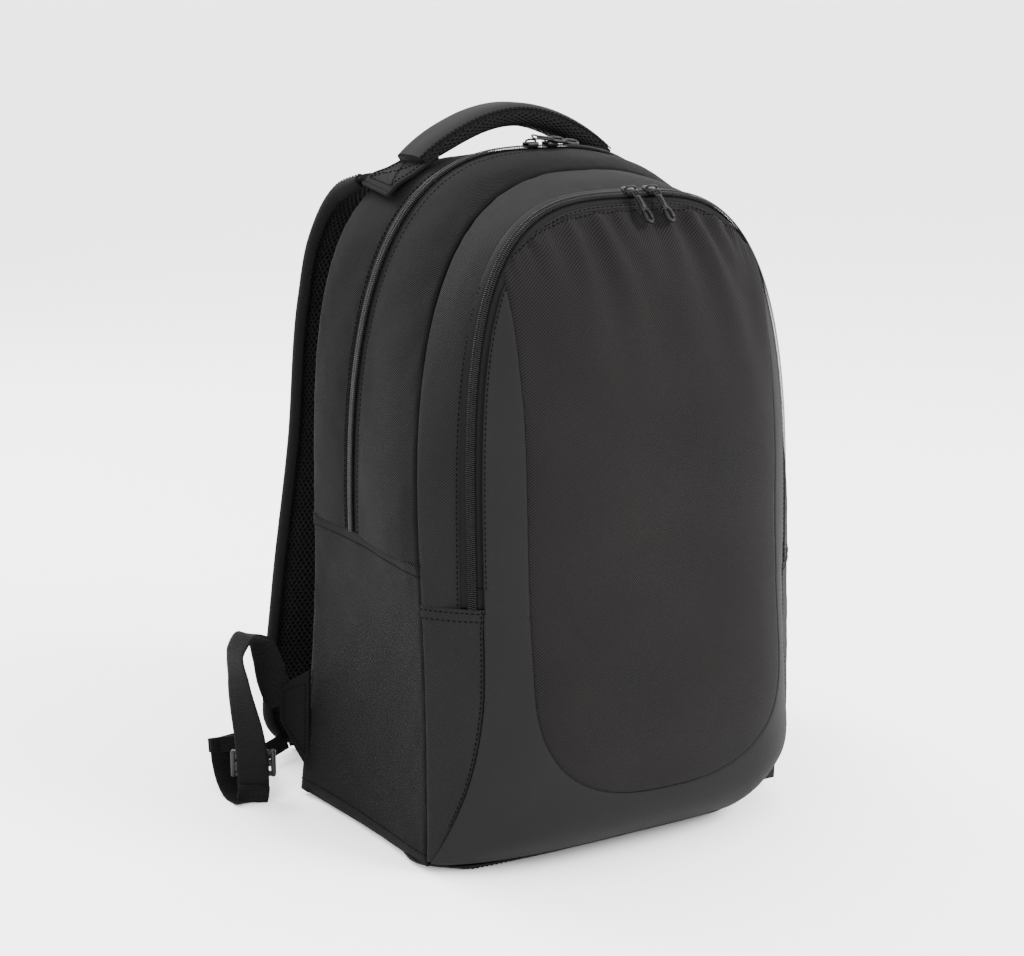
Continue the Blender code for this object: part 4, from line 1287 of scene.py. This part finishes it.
def face_grid(seam, y, low_z, rows, columns, inset=0.0):
    """A flat grid with a seam's outline, denser near its top."""
    top = seam.top - inset
    angle = np.linspace(0, math.pi / 2 - 0.06, rows)
    z = low_z + (top - low_z) * np.sin(angle) / math.sin(angle[-1]) * 0.998
    half = np.maximum(seam.x(np.minimum(z + inset * 0.3, top)) - inset, 0.004)
    shares = edge_spaced(columns) * 2 - 1
    x = half[:, None] * shares[None, :]
    z = z[:, None] * np.ones_like(x)
    return np.stack([x, seam.y(z) + y, z], axis=2)


def back_pad():
    """The padded back, with a sewn channel down its middle and one across."""
    grid = face_grid(BACK, 0.0, FLOOR_Z + 0.001, 150, 110, BACK_INSET)
    x, z = grid[..., 0], grid[..., 2]
    edge = np.minimum(BACK.x(np.minimum(z, BACK.top - 0.001)) - np.abs(x), np.minimum(BACK.top - z, z))
    swell = 0.006 * smooth(edge / 0.030)
    channel = 0.0042 * np.exp(-((x / 0.011) ** 2)) * smooth((z - 0.05) / 0.03) * smooth((0.41 - z) / 0.03)
    channel += 0.0030 * np.exp(-(((z - 0.16) / 0.008) ** 2)) * smooth((0.13 - np.abs(x)) / 0.02)
    grid[..., 1] += swell - channel * smooth(edge / 0.03)
    piece = cloth("back_pad", grid, FOAM, LINING, 0.010)
    on_body(piece, "bag", "mesh_fabric", "back_panel")
    layer = mesh_layer("back_air_mesh", grid, (0, 0, 0.2), 0.0044, 0.0011)
    on_body(layer, "bag", "mesh_fabric")


def back_lining():
    """The lining that covers the stiffening sheet inside the back."""
    low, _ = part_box("back_board")
    grid = face_grid(BACK, 0.0, 0.010, 100, 60, 0.010)
    grid[..., 1] = float(low[1]) - 0.0022 - waves(grid, 0.12, 33) * 0.0006
    on_body(cloth("back_lining", grid, LINING, LINING, 0.0008, (0, 0.5, 0.2)), "bag", "lining")


# (depth, half width) of the base's edge, from the front to the back.
BASE_EDGE = (
    (-0.0935, 0.108), (-0.088, 0.128), (-0.078, 0.1430),
    (-0.03, 0.1505), (0.02, 0.1540), (0.098, 0.1605),
)


def base():
    """The base: a fabric sheet with a turned-up edge, wide enough to meet the walls."""
    rows, columns = 60, 60
    y = np.linspace(-0.0935, BACK.y(0.0) + 0.0005, rows)
    shares = np.linspace(-1, 1, columns)
    half = through(BASE_EDGE, y)
    x = half[:, None] * shares[None, :]
    deep = y[:, None] + (1 - np.abs(shares[None, :]) ** 4) * -0.004 * (y[:, None] < -0.08)
    from_sides = half[:, None] * (1 - np.abs(shares[None, :]))
    edge = np.minimum(from_sides, np.minimum(y - y[0], y[-1] - y)[:, None])
    z = 0.0002 + 0.0028 * (1 - smooth(edge / 0.009))
    grid = slumped(np.stack([x, deep, z * np.ones_like(x)], axis=2))
    piece = cloth("base_fabric", grid, FINE, LINING, centre=(0, 0, 1))
    on_body(piece, "bag", "fine_fabric", "base_panel")
    for line in (grid[2], grid[-3]):
        threads["bag"].append(stitches(line, np.tile((0, 0, -1.0), (len(line), 1))))


def divider():
    """The lining between the main compartment and the front pocket."""
    grid = face_grid(MIDDLE, 0.003, 0.008, 120, 60, 0.006)
    grid[..., 1] += waves(grid, 0.10, 71) * 0.0015
    piece = cloth("divider_fabric", grid, LINING, LINING, 0.0008, (0, 0.5, 0.2))
    on_fold(piece, "lining", "divider_lower", "divider_fold", "divider_upper")


def yoke():
    """The reinforced patch across the top of the back."""
    z = np.linspace(0.403, 0.442, 24)[:, None] * np.ones((1, 60))
    x = (BACK.x(z) - 0.016) * (edge_spaced(60) * 2 - 1)[None, :]
    y = np.full_like(x, BACK_Y + 0.0082)
    grid = np.stack([x, y, z], axis=2)
    edge = np.minimum(np.minimum(z - 0.403, 0.442 - z), 0.016)
    grid[..., 1] -= rolled(edge, 0.0016, 0.004)
    on_body(cloth("strap_yoke_fabric", grid, TWILL, LINING), "bag", "twill", "strap_yoke")
    for distance in (0.0025, 0.0055):
        for from_start in (True, False):
            sew_row("bag", edge_row(grid, distance, from_start))


def piping(name, line, radius, body):
    """A corded edge sewn into a seam."""
    ring = rod(line, radius, 10)
    on_body(solid(name, [ring], TWILL), body, "twill")


# ---------------------------------------------------------------- the handle

HANDLE_Y = 0.070
HANDLE_Z = 0.4672
HANDLE_SPAN = 0.0790
HANDLE_RISE = 0.0294
GRIP_WIDTH = 0.037
GRIP_THICKNESS = 0.0150
FELT_FROM, FELT_TO = math.radians(-32), math.radians(152)  # the felt's edges, round the grip


def grip_line(count):
    """The handle's middle line, and the way up from it."""
    share = np.linspace(-1, 1, count)
    rise = HANDLE_RISE * np.cos(share * math.pi / 2)
    line = np.stack([share * HANDLE_SPAN, np.full(count, HANDLE_Y), HANDLE_Z + rise], axis=1)
    slope = -HANDLE_RISE * np.sin(share * math.pi / 2) * math.pi / 2 / HANDLE_SPAN
    up = np.stack([-slope, np.zeros(count), np.ones(count)], axis=1)
    return share, line, unit(up)


def grip_sheet(low_angle, high_angle, rows, columns, proud):
    """Part of the grip's rounded surface: angles run round it from its rear edge over the top."""
    share, line, up = grip_line(rows)
    angle = np.linspace(low_angle, high_angle, columns)[None, :]
    thin = (1 - 0.58 * np.abs(share) ** 7)[:, None]
    wide = (GRIP_WIDTH / 2) * (1 - 0.10 * share**2)[:, None]
    c, s = np.cos(angle), np.sin(angle)
    b = np.sign(c) * np.abs(c) ** 0.62 * (wide + proud)
    h = np.sign(s) * np.abs(s) ** 0.80 * (GRIP_THICKNESS / 2 * thin + proud)
    return line[:, None] + up[:, None] * h[..., None] + np.array((0, 1, 0)) * b[..., None]


def handle():
    """Padded grip: felt over the top and round both edges, air mesh on the underside."""
    body = grip_sheet(0, 2 * math.pi * 99 / 100, 90, 100, 0.0)
    piece = solid("grip_pad", [tube(body)], FOAM)
    on_grip(piece, "mesh_fabric", "handle_grip")
    top = grip_sheet(FELT_FROM, FELT_TO, 120, 70, 0.0011)
    normals = top - grip_line(120)[1][:, None]
    normals = unit(normals)
    top = top + normals * (waves(top, 0.02, 81) * 0.00025)[..., None]
    on_grip(grip_cloth("grip_cover", top), "fine_fabric")
    for column in (2, -3):
        sew_row("handle", (top[:, column] + normals[:, column] * 0.0002, normals[:, column]))
    under = grip_sheet(FELT_TO, FELT_FROM + 2 * math.pi, 120, 40, 0.0)
    layer = mesh_layer("grip_air_mesh", under, (0, HANDLE_Y, HANDLE_Z + 0.014), 0.0036, 0.0010)
    on_grip(layer, "mesh_fabric")
    for side, word in SIDES:
        handle_end(side, word)


def grip_cloth(name, grid):
    """A thin cover whose outer face looks away from the grip's middle line."""
    rows, columns = grid.shape[:2]
    middle = grip_line(rows)[1][:, None]
    out = grid - middle
    inner = middle + out * (1 - 0.0009 / np.linalg.norm(out, axis=2, keepdims=True))
    ring = np.concatenate([grid, inner[:, ::-1]], axis=1)
    uv = grid_uv(grid)
    uv = np.concatenate([uv, uv[:, ::-1]], axis=1)
    faces = grid_faces(rows, 2 * columns, wrapped=True)
    return mesh_object(name, ring, facing_out(ring.reshape(-1, 3), faces), uv, [FELT])


END_LIFT = 0.0060
END_INNER_X = 0.0680
END_OUTER_X = 0.1070


def handle_end(side, word):
    """The flat end of the handle, with a piped edge and crossed stitching."""
    rows, columns = 30, 40
    x = np.linspace(END_INNER_X, END_OUTER_X, rows)[:, None] * np.ones((1, columns))
    y = np.ones((rows, 1)) * np.linspace(0.0505, 0.0895, columns)[None, :]
    share = (BACK_Y - y) / (BACK_Y - MAIN.y(0.45))
    z = BACK.z(x) + (MAIN.z(x) - BACK.z(x)) * share + END_LIFT
    z += 0.0016 * smooth((END_INNER_X + 0.012 - x) / 0.012)
    z += 0.0055 * smooth((x - 0.084) / (END_OUTER_X - 0.084))
    grid = np.stack([side * x, y, z], axis=2)
    grid = relief(grid, 90 + side, sag=0.0004, first_roll=0.0006, second_roll=0.0006)
    normals, _ = grid_normals(grid)
    grid = grid - normals * rolled(x - END_INNER_X, 0.0006, 0.002)[..., None]
    grid = grid - normals * rolled(END_OUTER_X - x, 0.0008, 0.003)[..., None]
    piece = cloth(f"handle_end_{word}_fabric", grid, TWILL, TWILL, 0.0028)
    on_body(piece, "bag", "twill", f"handle_end_{word}")
    corners = {"a": (3, 4), "b": (3, columns - 5), "c": (rows - 4, columns - 5), "d": (rows - 4, 4)}
    for first, second in ("ab", "bc", "cd", "da", "ac", "bd"):
        r = np.linspace(corners[first][0], corners[second][0], 30).round().astype(int)
        c = np.linspace(corners[first][1], corners[second][1], 30).round().astype(int)
        threads["bag"].append(stitches(grid[r, c] + normals[r, c] * 0.0001, normals[r, c], **BOX_STITCH))
    edge = np.concatenate([grid[:, 0], grid[-1, 1:], grid[::-1, -1][1:]])
    piping(f"handle_end_{word}_piping", edge - np.array((0, 0, 0.0008)), 0.0015, "bag")


# ---------------------------------------------------------------- the shoulder straps

STRAP_LINE = (
    (0.076, 0.097, 0.452), (0.082, 0.128, 0.437), (0.088, 0.150, 0.405), (0.092, 0.162, 0.360),
    (0.098, 0.173, 0.250), (0.112, 0.180, 0.130), (0.121, 0.182, 0.034), (0.122, 0.180, 0.006),
)
STRAP_WIDTH = 0.064
STRAP_THICKNESS = 0.011
STRAP_ROWS = 220
STRAP_ROOT_ROWS = 14  # rows over which the strap swells from its sewn end
STRAP_END = 0.030  # length over which the strap's lower end rounds off


def strap_frame(side):
    """The strap's middle line, the way across it and the way out of its outer face."""
    line = curve(STRAP_LINE, STRAP_ROWS) * (side, 1, 1)
    along = tangents(line)
    across = np.tile((1.0, 0.0, 0.0), (STRAP_ROWS, 1))
    across = square_to(across, along)
    up = np.cross(along, across)
    up *= np.sign(up[:, 1:2] + 1e-9)
    length = distances(line)
    left = length[-1] - length
    shrink = np.sqrt(np.maximum(1 - np.clip(1 - left / STRAP_END, 0, 1) ** 2, 0.0))
    half = STRAP_WIDTH / 2 * np.maximum(shrink, 0.02)
    return line, across, up, half


def root_swell():
    """Share of the full thickness at each row: the strap is flatter where it is sewn on."""
    return smooth(np.arange(STRAP_ROWS) / STRAP_ROOT_ROWS) * 0.35 + 0.65


def strap_face(side, sign, proud, columns=30, reach=1.0):
    """One face of the strap: sign is 1 for the outer face and -1 for the one next to the body."""
    line, across, up, half = strap_frame(side)
    share = (edge_spaced(columns) * 2 - 1)[None, :] * reach
    crown = (1 - np.abs(share) ** 3.2) ** 0.5
    root = root_swell()[:, None]
    tip = np.sqrt(np.clip(half / (STRAP_WIDTH / 2), 0, 1))[:, None]
    high = sign * (STRAP_THICKNESS / 2 * crown * root * tip + proud)
    aside = share * half[:, None]
    return line[:, None] + across[:, None] * aside[..., None] + up[:, None] * high[..., None]


def strap(side, word):
    """A padded strap: twill outside, air mesh inside, with a bound edge."""
    outer = strap_face(side, 1, 0.0)
    inner = strap_face(side, -1, 0.0)
    ring = np.concatenate([outer, inner[:, ::-1]], axis=1)
    body = solid(f"strap_{word}_pad", [tube(ring)], FOAM)
    on_body(body, f"strap_{word}", "mesh_fabric", f"strap_{word}")
    face = strap_face(side, 1, 0.0007, 40, 0.97)
    cover = cloth(f"strap_{word}_cover", face, FINE, FOAM, 0.0006, (side * 0.1, -0.3, 0.25))
    on_body(cover, f"strap_{word}", "fine_fabric")
    mesh_face = strap_face(side, -1, 0.0, 40, 0.93)
    layer = mesh_layer(f"strap_{word}_air_mesh", mesh_face, (side * 0.1, 0.6, 0.25), 0.0034, 0.0010)
    on_body(layer, f"strap_{word}", "mesh_fabric")
    binding(side, word)


BINDING_REACH = 0.0050


def binding(side, word):
    """The twill tape folded over the strap's edge, with a row of stitches on each face."""
    line, across, up, half = strap_frame(side)
    keep = slice(2, STRAP_ROWS - 1)
    root = root_swell()[keep]
    edge = {s: (line + across * (half * s)[:, None])[keep] for s in (-1, 1)}
    path = np.concatenate([edge[-1], edge[1][::-1]])
    face = np.concatenate([up[keep], up[keep][::-1]])
    thick = np.concatenate([root, root[::-1]])
    path = resampled(np.hstack([path, face, thick[:, None]]), 420)
    path, face, thick = path[:, :3], path[:, 3:6], path[:, 6:]
    face = unit(face)
    along = tangents(path)
    outward = np.cross(along, face)
    core = np.array([line[np.argmin(np.abs(line[:, 2] - z))] for z in path[:, 2]])
    outward *= np.sign(((path - core) * outward).sum(axis=1, keepdims=True) + 1e-9)
    section = ((-BINDING_REACH, 0.58), (-0.0030, 0.52), (-0.0010, 0.38), (0.0004, 0.20), (0.0009, 0.0))
    section += tuple((a, -b) for a, b in section[-2::-1])
    rings = [path + outward * a + face * b * STRAP_THICKNESS * thick * 1.12 for a, b in section]
    outer = np.stack(rings, axis=1)
    inside = [
        path + outward * (a - 0.0006) + face * b * STRAP_THICKNESS * thick
        for a, b in section[::-1]
    ]
    ring = np.concatenate([outer, np.stack(inside, axis=1)], axis=1)
    piece = solid(f"strap_{word}_binding", [tube(ring)], TWILL)
    on_body(piece, f"strap_{word}", "twill")
    for sign in (1, -1):
        row = path + outward * -0.0040 + face * sign * 0.57 * STRAP_THICKNESS * thick * 1.12
        threads[f"strap_{word}"].append(stitches(row, face * sign))


# ---------------------------------------------------------------- webbing

WEB_WIDTH = 0.0235
WEB_THICKNESS = 0.0016
HEM_LENGTH = 0.012
WEB_SPLIT_X = 0.2022  # the loop's outermost part, where the webbing's two pieces meet
RIB_STEPS = 7  # points in one rib
RIB_PITCH = 0.00135
RIB_DEPTH = 0.00016
TAB_POINT = np.array((0.1735, 0.1075, 0.0690))
WEB_LINE = (
    (0.1715, 0.107, 0.069), (0.1765, 0.113, 0.087), (0.1790, 0.117, 0.104), (0.1840, 0.119, 0.118),
    (0.1930, 0.119, 0.123), (0.2020, 0.118, 0.114), (0.2030, 0.114, 0.090), (0.1990, 0.1055, 0.045),
    (0.1982, 0.1032, 0.026), (0.1985, 0.1028, 0.0115),
)
TAIL_LINE = (
    (0.1990, 0.1005, 0.0128), (0.2010, 0.0978, 0.0070), (0.2025, 0.0985, 0.0022), (0.2035, 0.1050, 0.0012),
    (0.2040, 0.1160, 0.0016), (0.2045, 0.1280, 0.0080), (0.2050, 0.1370, 0.0220), (0.2055, 0.1400, 0.0400),
)
STUB_LINE = ((0.1380, 0.176, 0.012), (0.1580, 0.165, 0.011), (0.1760, 0.142, 0.019), (0.1900, 0.120, 0.0262))
LOCK_AT = np.array((0.1955, 0.1085, 0.0270))


def ribbon(line, wide, width, thickness=WEB_THICKNESS, columns=14):
    """A flat woven strip with ribs across it. wide is the direction of its width at each point."""
    along = tangents(line)
    wide = square_to(wide, along)
    up = np.cross(along, wide)
    length = distances(line)
    rib = RIB_DEPTH * np.sin(length * 2 * math.pi / RIB_PITCH)
    share = np.linspace(-1, 1, columns)
    edge = np.sqrt(np.maximum(1 - np.abs(share) ** 8, 0.15))
    half = thickness / 2 * edge
    faces = []
    for sign, order in ((1, slice(None)), (-1, slice(None, None, -1))):
        high = sign * (half[None, :] + rib[:, None])
        aside = wide[:, None] * (share * width / 2)[None, :, None]
        faces.append((line[:, None] + aside + up[:, None] * high[..., None])[:, order])
    return np.concatenate(faces, axis=1)


def ribbon_count(line):
    return int(length_of(line) / RIB_PITCH * RIB_STEPS)


def lock_across(side):
    """The way across a ladder lock, from one of its rails to the other."""
    return unit(np.array((0.86, side * 0.50, 0.0)))


def webbing(side, word):
    """The adjusting webbing, from the tab, over a slack loop and down into the lock."""
    rough = curve(WEB_LINE, 400) * (side, 1, 1)
    line = resampled(rough, ribbon_count(rough))
    share = np.linspace(0, 1, len(line))[:, None]
    start = np.array((side * 0.86, 0.35, -0.36))
    loop = np.array((side * 0.10, 0.99, 0.0))
    down = lock_across(side) * side
    wide = start * np.clip(1 - 2.2 * share, 0, None)
    wide = wide + loop * np.clip(1 - np.abs(2.2 * share - 1), 0, None)
    wide = wide + down * np.clip(2.2 * share - 1, 0, None)
    ring = ribbon(line, wide, WEB_WIDTH)
    split = int(np.argmax(np.abs(line[:, 0]) > WEB_SPLIT_X))
    upper = solid(f"webbing_{word}_upper", [tube(ring[: split + 1])], WEBBING)
    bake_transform(upper)
    standing_for(upper, "webbing", f"webbing_{word}")
    lower = solid(f"webbing_{word}_lower", [tube(ring[split:])], WEBBING)
    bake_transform(lower)
    tail(side, word)
    stub(side, word)


def tail(side, word):
    """The loose end below the lock: it turns on the floor and ends in a folded, sewn hem."""
    rough = curve(TAIL_LINE, 300) * (side, 1, 1)
    line = resampled(rough, ribbon_count(rough))
    run = line[-1] - line[0]
    turn = np.linspace(0, 1, len(line))[:, None] ** 0.7
    level = np.array((run[1], -run[0], 0.0)) / math.hypot(run[0], run[1])
    wide = lock_across(side) * (1 - turn) + level * np.sign(level[0]) * turn
    ring = ribbon(line, wide, WEB_WIDTH)
    ring[..., 2] = np.maximum(ring[..., 2], 0.0004)
    piece = solid(f"webbing_tail_{word}_strip", [tube(ring)], WEBBING)
    on_body(piece, f"lock_{word}", "webbing", f"webbing_tail_{word}")
    last = line[-int(HEM_LENGTH / RIB_PITCH * RIB_STEPS) :]
    along = tangents(last)
    out = unit(np.cross(along, wide[: len(last)]))
    fold = ribbon(last - out * 0.0017, wide[: len(last)], WEB_WIDTH)
    hem = solid(f"webbing_tail_{word}_hem", [tube(fold)], WEBBING)
    on_body(hem, f"lock_{word}", "webbing")


def stub(side, word):
    """The webbing from the strap's lower end to the lock."""
    rough = curve(STUB_LINE, 300) * (side, 1, 1)
    line = resampled(rough, ribbon_count(rough))
    share = np.linspace(0.2, 0.8, len(line))[:, None]
    wide = np.array((0.0, 0.25, 1.0)) * (1 - share) + lock_across(side) * side * share
    ring = ribbon(line, wide, WEB_WIDTH * 0.55)
    ring[..., 2] = np.maximum(ring[..., 2], 0.0004)
    piece = solid(f"strap_stub_{word}_strip", [tube(ring)], WEBBING)
    on_body(piece, f"strap_{word}", "webbing", f"strap_stub_{word}")


def ladder_lock(side, word):
    """A ladder lock: two rails joined by three ribbed bars, with a slot between each two."""
    across = lock_across(side)
    up = np.array((0.0, 0.0, 1.0))
    out = unit(np.cross(up, across) * -side)
    centre = LOCK_AT * (side, 1, 1)
    parts = []
    for sign in (-1, 1):
        rail = (centre + across * sign * 0.0148, up, across, out)
        parts.append(plate(rail, round_outline(0.0205, 0.0036, 0.0016), -0.0026, 0.0026, 0.0008))
    for height, radius in ((-0.0083, 0.0021), (0.0, 0.0026), (0.0083, 0.0021)):
        ends = np.array([centre + up * height + across * a for a in np.linspace(-0.0150, 0.0150, 9)])
        parts.append(rod(ends, radius, 12))
    for k in range(5):
        rib = centre + up * 0.0083 + across * (k - 2) * 0.0050 + out * 0.0016
        outline = round_outline(0.0034, 0.0012, 0.0005)
        parts.append(plate((rib, up, across, out), outline, -0.0004, 0.0010, 0.0002))
    piece = solid(f"lock_{word}_plastic", parts, PLASTIC)
    on_body(piece, f"lock_{word}", "black_plastic", f"ladder_lock_{word}")


def tab(side, word):
    """The triangular tab in the back seam that holds the webbing, with a sewn box."""
    rows, columns = 26, 26
    across = np.linspace(0, 1, rows)[:, None]
    height = np.linspace(0, 1, columns)[None, :]
    root_low = np.array((side * 0.1600, 0.0890, 0.020))
    root_high = np.array((side * 0.1575, 0.0890, 0.098))
    tip_low = TAB_POINT * (side, 1, 1) + (0.0, 0.0, -0.0125)
    tip_high = TAB_POINT * (side, 1, 1) + (0.0, 0.0, 0.0115)
    root = root_low + (root_high - root_low) * height[..., None]
    tip = tip_low + (tip_high - tip_low) * height[..., None]
    grid = root + (tip - root) * across[..., None]
    grid[..., 1] += 0.0016 * np.sin(across * math.pi)
    piece = cloth(f"tab_{word}_fabric", grid, TWILL, TWILL, 0.0024, (side * 0.16, 0.5, 0.06))
    on_body(piece, "bag", "twill", f"webbing_tab_{word}")
    normals, _ = grid_normals(grid, (side * 0.16, 0.5, 0.06))
    for r in (3, rows - 5):
        threads["bag"].append(stitches(grid[r, 3:-3], normals[r, 3:-3], **BOX_STITCH))
    for c in (3, columns - 4):
        threads["bag"].append(stitches(grid[3:-4, c], normals[3:-4, c], **BOX_STITCH))


# ---------------------------------------------------------------- threads, boards and stage


def sew():
    """One object of stitches for each way that they are held."""
    for held, rows in threads.items():
        if not rows:
            continue
        points, faces, uv = joined(rows)
        piece = mesh_object(f"stitches_{held}", points, faces, uv, [THREAD_BLACK])
        if held == "fold":
            on_fold(piece, "twill")
        elif held == "flap":
            on_flap_fold(piece, "twill")
        elif held == "handle":
            on_grip(piece, "twill")
        else:
            on_body(piece, held, "twill")


def finish_cad_nodes():
    for name in ("back_board", "base_board"):
        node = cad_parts[name]
        node.data.materials.clear()
        node.data.materials.append(BOARD)


SKY = 3.6  # strength of the white surroundings
# Name, place, target, size across and power in watts.
LIGHTS = (
    ("key", (1.3, -1.9, 1.9), (0.05, -0.1, 0.25), 1.2, 170),
    ("fill", (-2.2, -1.2, 1.0), (0.0, 0.0, 0.25), 1.4, 30),
    ("rim", (-0.6, 1.6, 1.6), (0.0, 0.0, 0.35), 1.0, 60),
)
FLOOR_HALF = 60
CAMERA_AT = (-0.780, -1.230, 0.585)
CAMERA_TARGET = (0.0123, 0.0827, 0.2233)
CAMERA_LENS = 73.1  # millimetres, for a sensor 36 mm wide


def area_light(name, place, target, size, power):
    data = bpy.data.lights.new(name, "AREA")
    data.shape = "RECTANGLE"
    data.size = data.size_y = size
    data.energy = power
    light = bpy.data.objects.new(name, data)
    light.location = place
    light.rotation_euler = (Vector(target) - Vector(place)).to_track_quat("-Z", "Y").to_euler()
    bpy.context.scene.collection.objects.link(light)


def studio():
    floor = mesh_object(
        "studio_floor",
        [(a * FLOOR_HALF, b * FLOOR_HALF, 0) for a, b in ((-1, -1), (1, -1), (1, 1), (-1, 1))],
        [(0, 1, 2, 3)],
        [(0, 0), (1, 0), (1, 1), (0, 1)],
        [floor_material()],
    )
    world = bpy.data.worlds.new("studio")
    bpy.context.scene.world = world
    world.use_nodes = True
    world.node_tree.nodes["Background"].inputs["Color"].default_value = (1, 1, 1, 1)
    world.node_tree.nodes["Background"].inputs["Strength"].default_value = SKY
    for light in LIGHTS:
        area_light(*light)


def floor_material():
    s = Shader("studio_white", 0.75)
    s.colours(s.noise(0.5, 2.0), (0.94, 0.94, 0.94), (0.96, 0.96, 0.96))
    return s.material


def camera():
    data = bpy.data.cameras.new("view")
    data.lens = CAMERA_LENS
    data.sensor_width = 36.0
    view = bpy.data.objects.new("view", data)
    view.location = CAMERA_AT
    view.rotation_euler = (Vector(CAMERA_TARGET) - view.location).to_track_quat("-Z", "Y").to_euler()
    bpy.context.scene.collection.objects.link(view)
    bpy.context.scene.camera = view


rear_gusset()
middle_gusset()
pocket_gusset()
front_strips()
front_insets()
main_zip()
pocket_zip()
sliders("main", MAIN)
sliders("pocket", POCKET)
back_pad()
back_lining()
base()
divider()
yoke()
handle()
for side, word in SIDES:
    side_panel(side, word)
    lower_gusset(side, word)
    strap(side, word)
    ladder_lock(side, word)
    tab(side, word)
    webbing(side, word)
sew()
finish_cad_nodes()
studio()
camera()
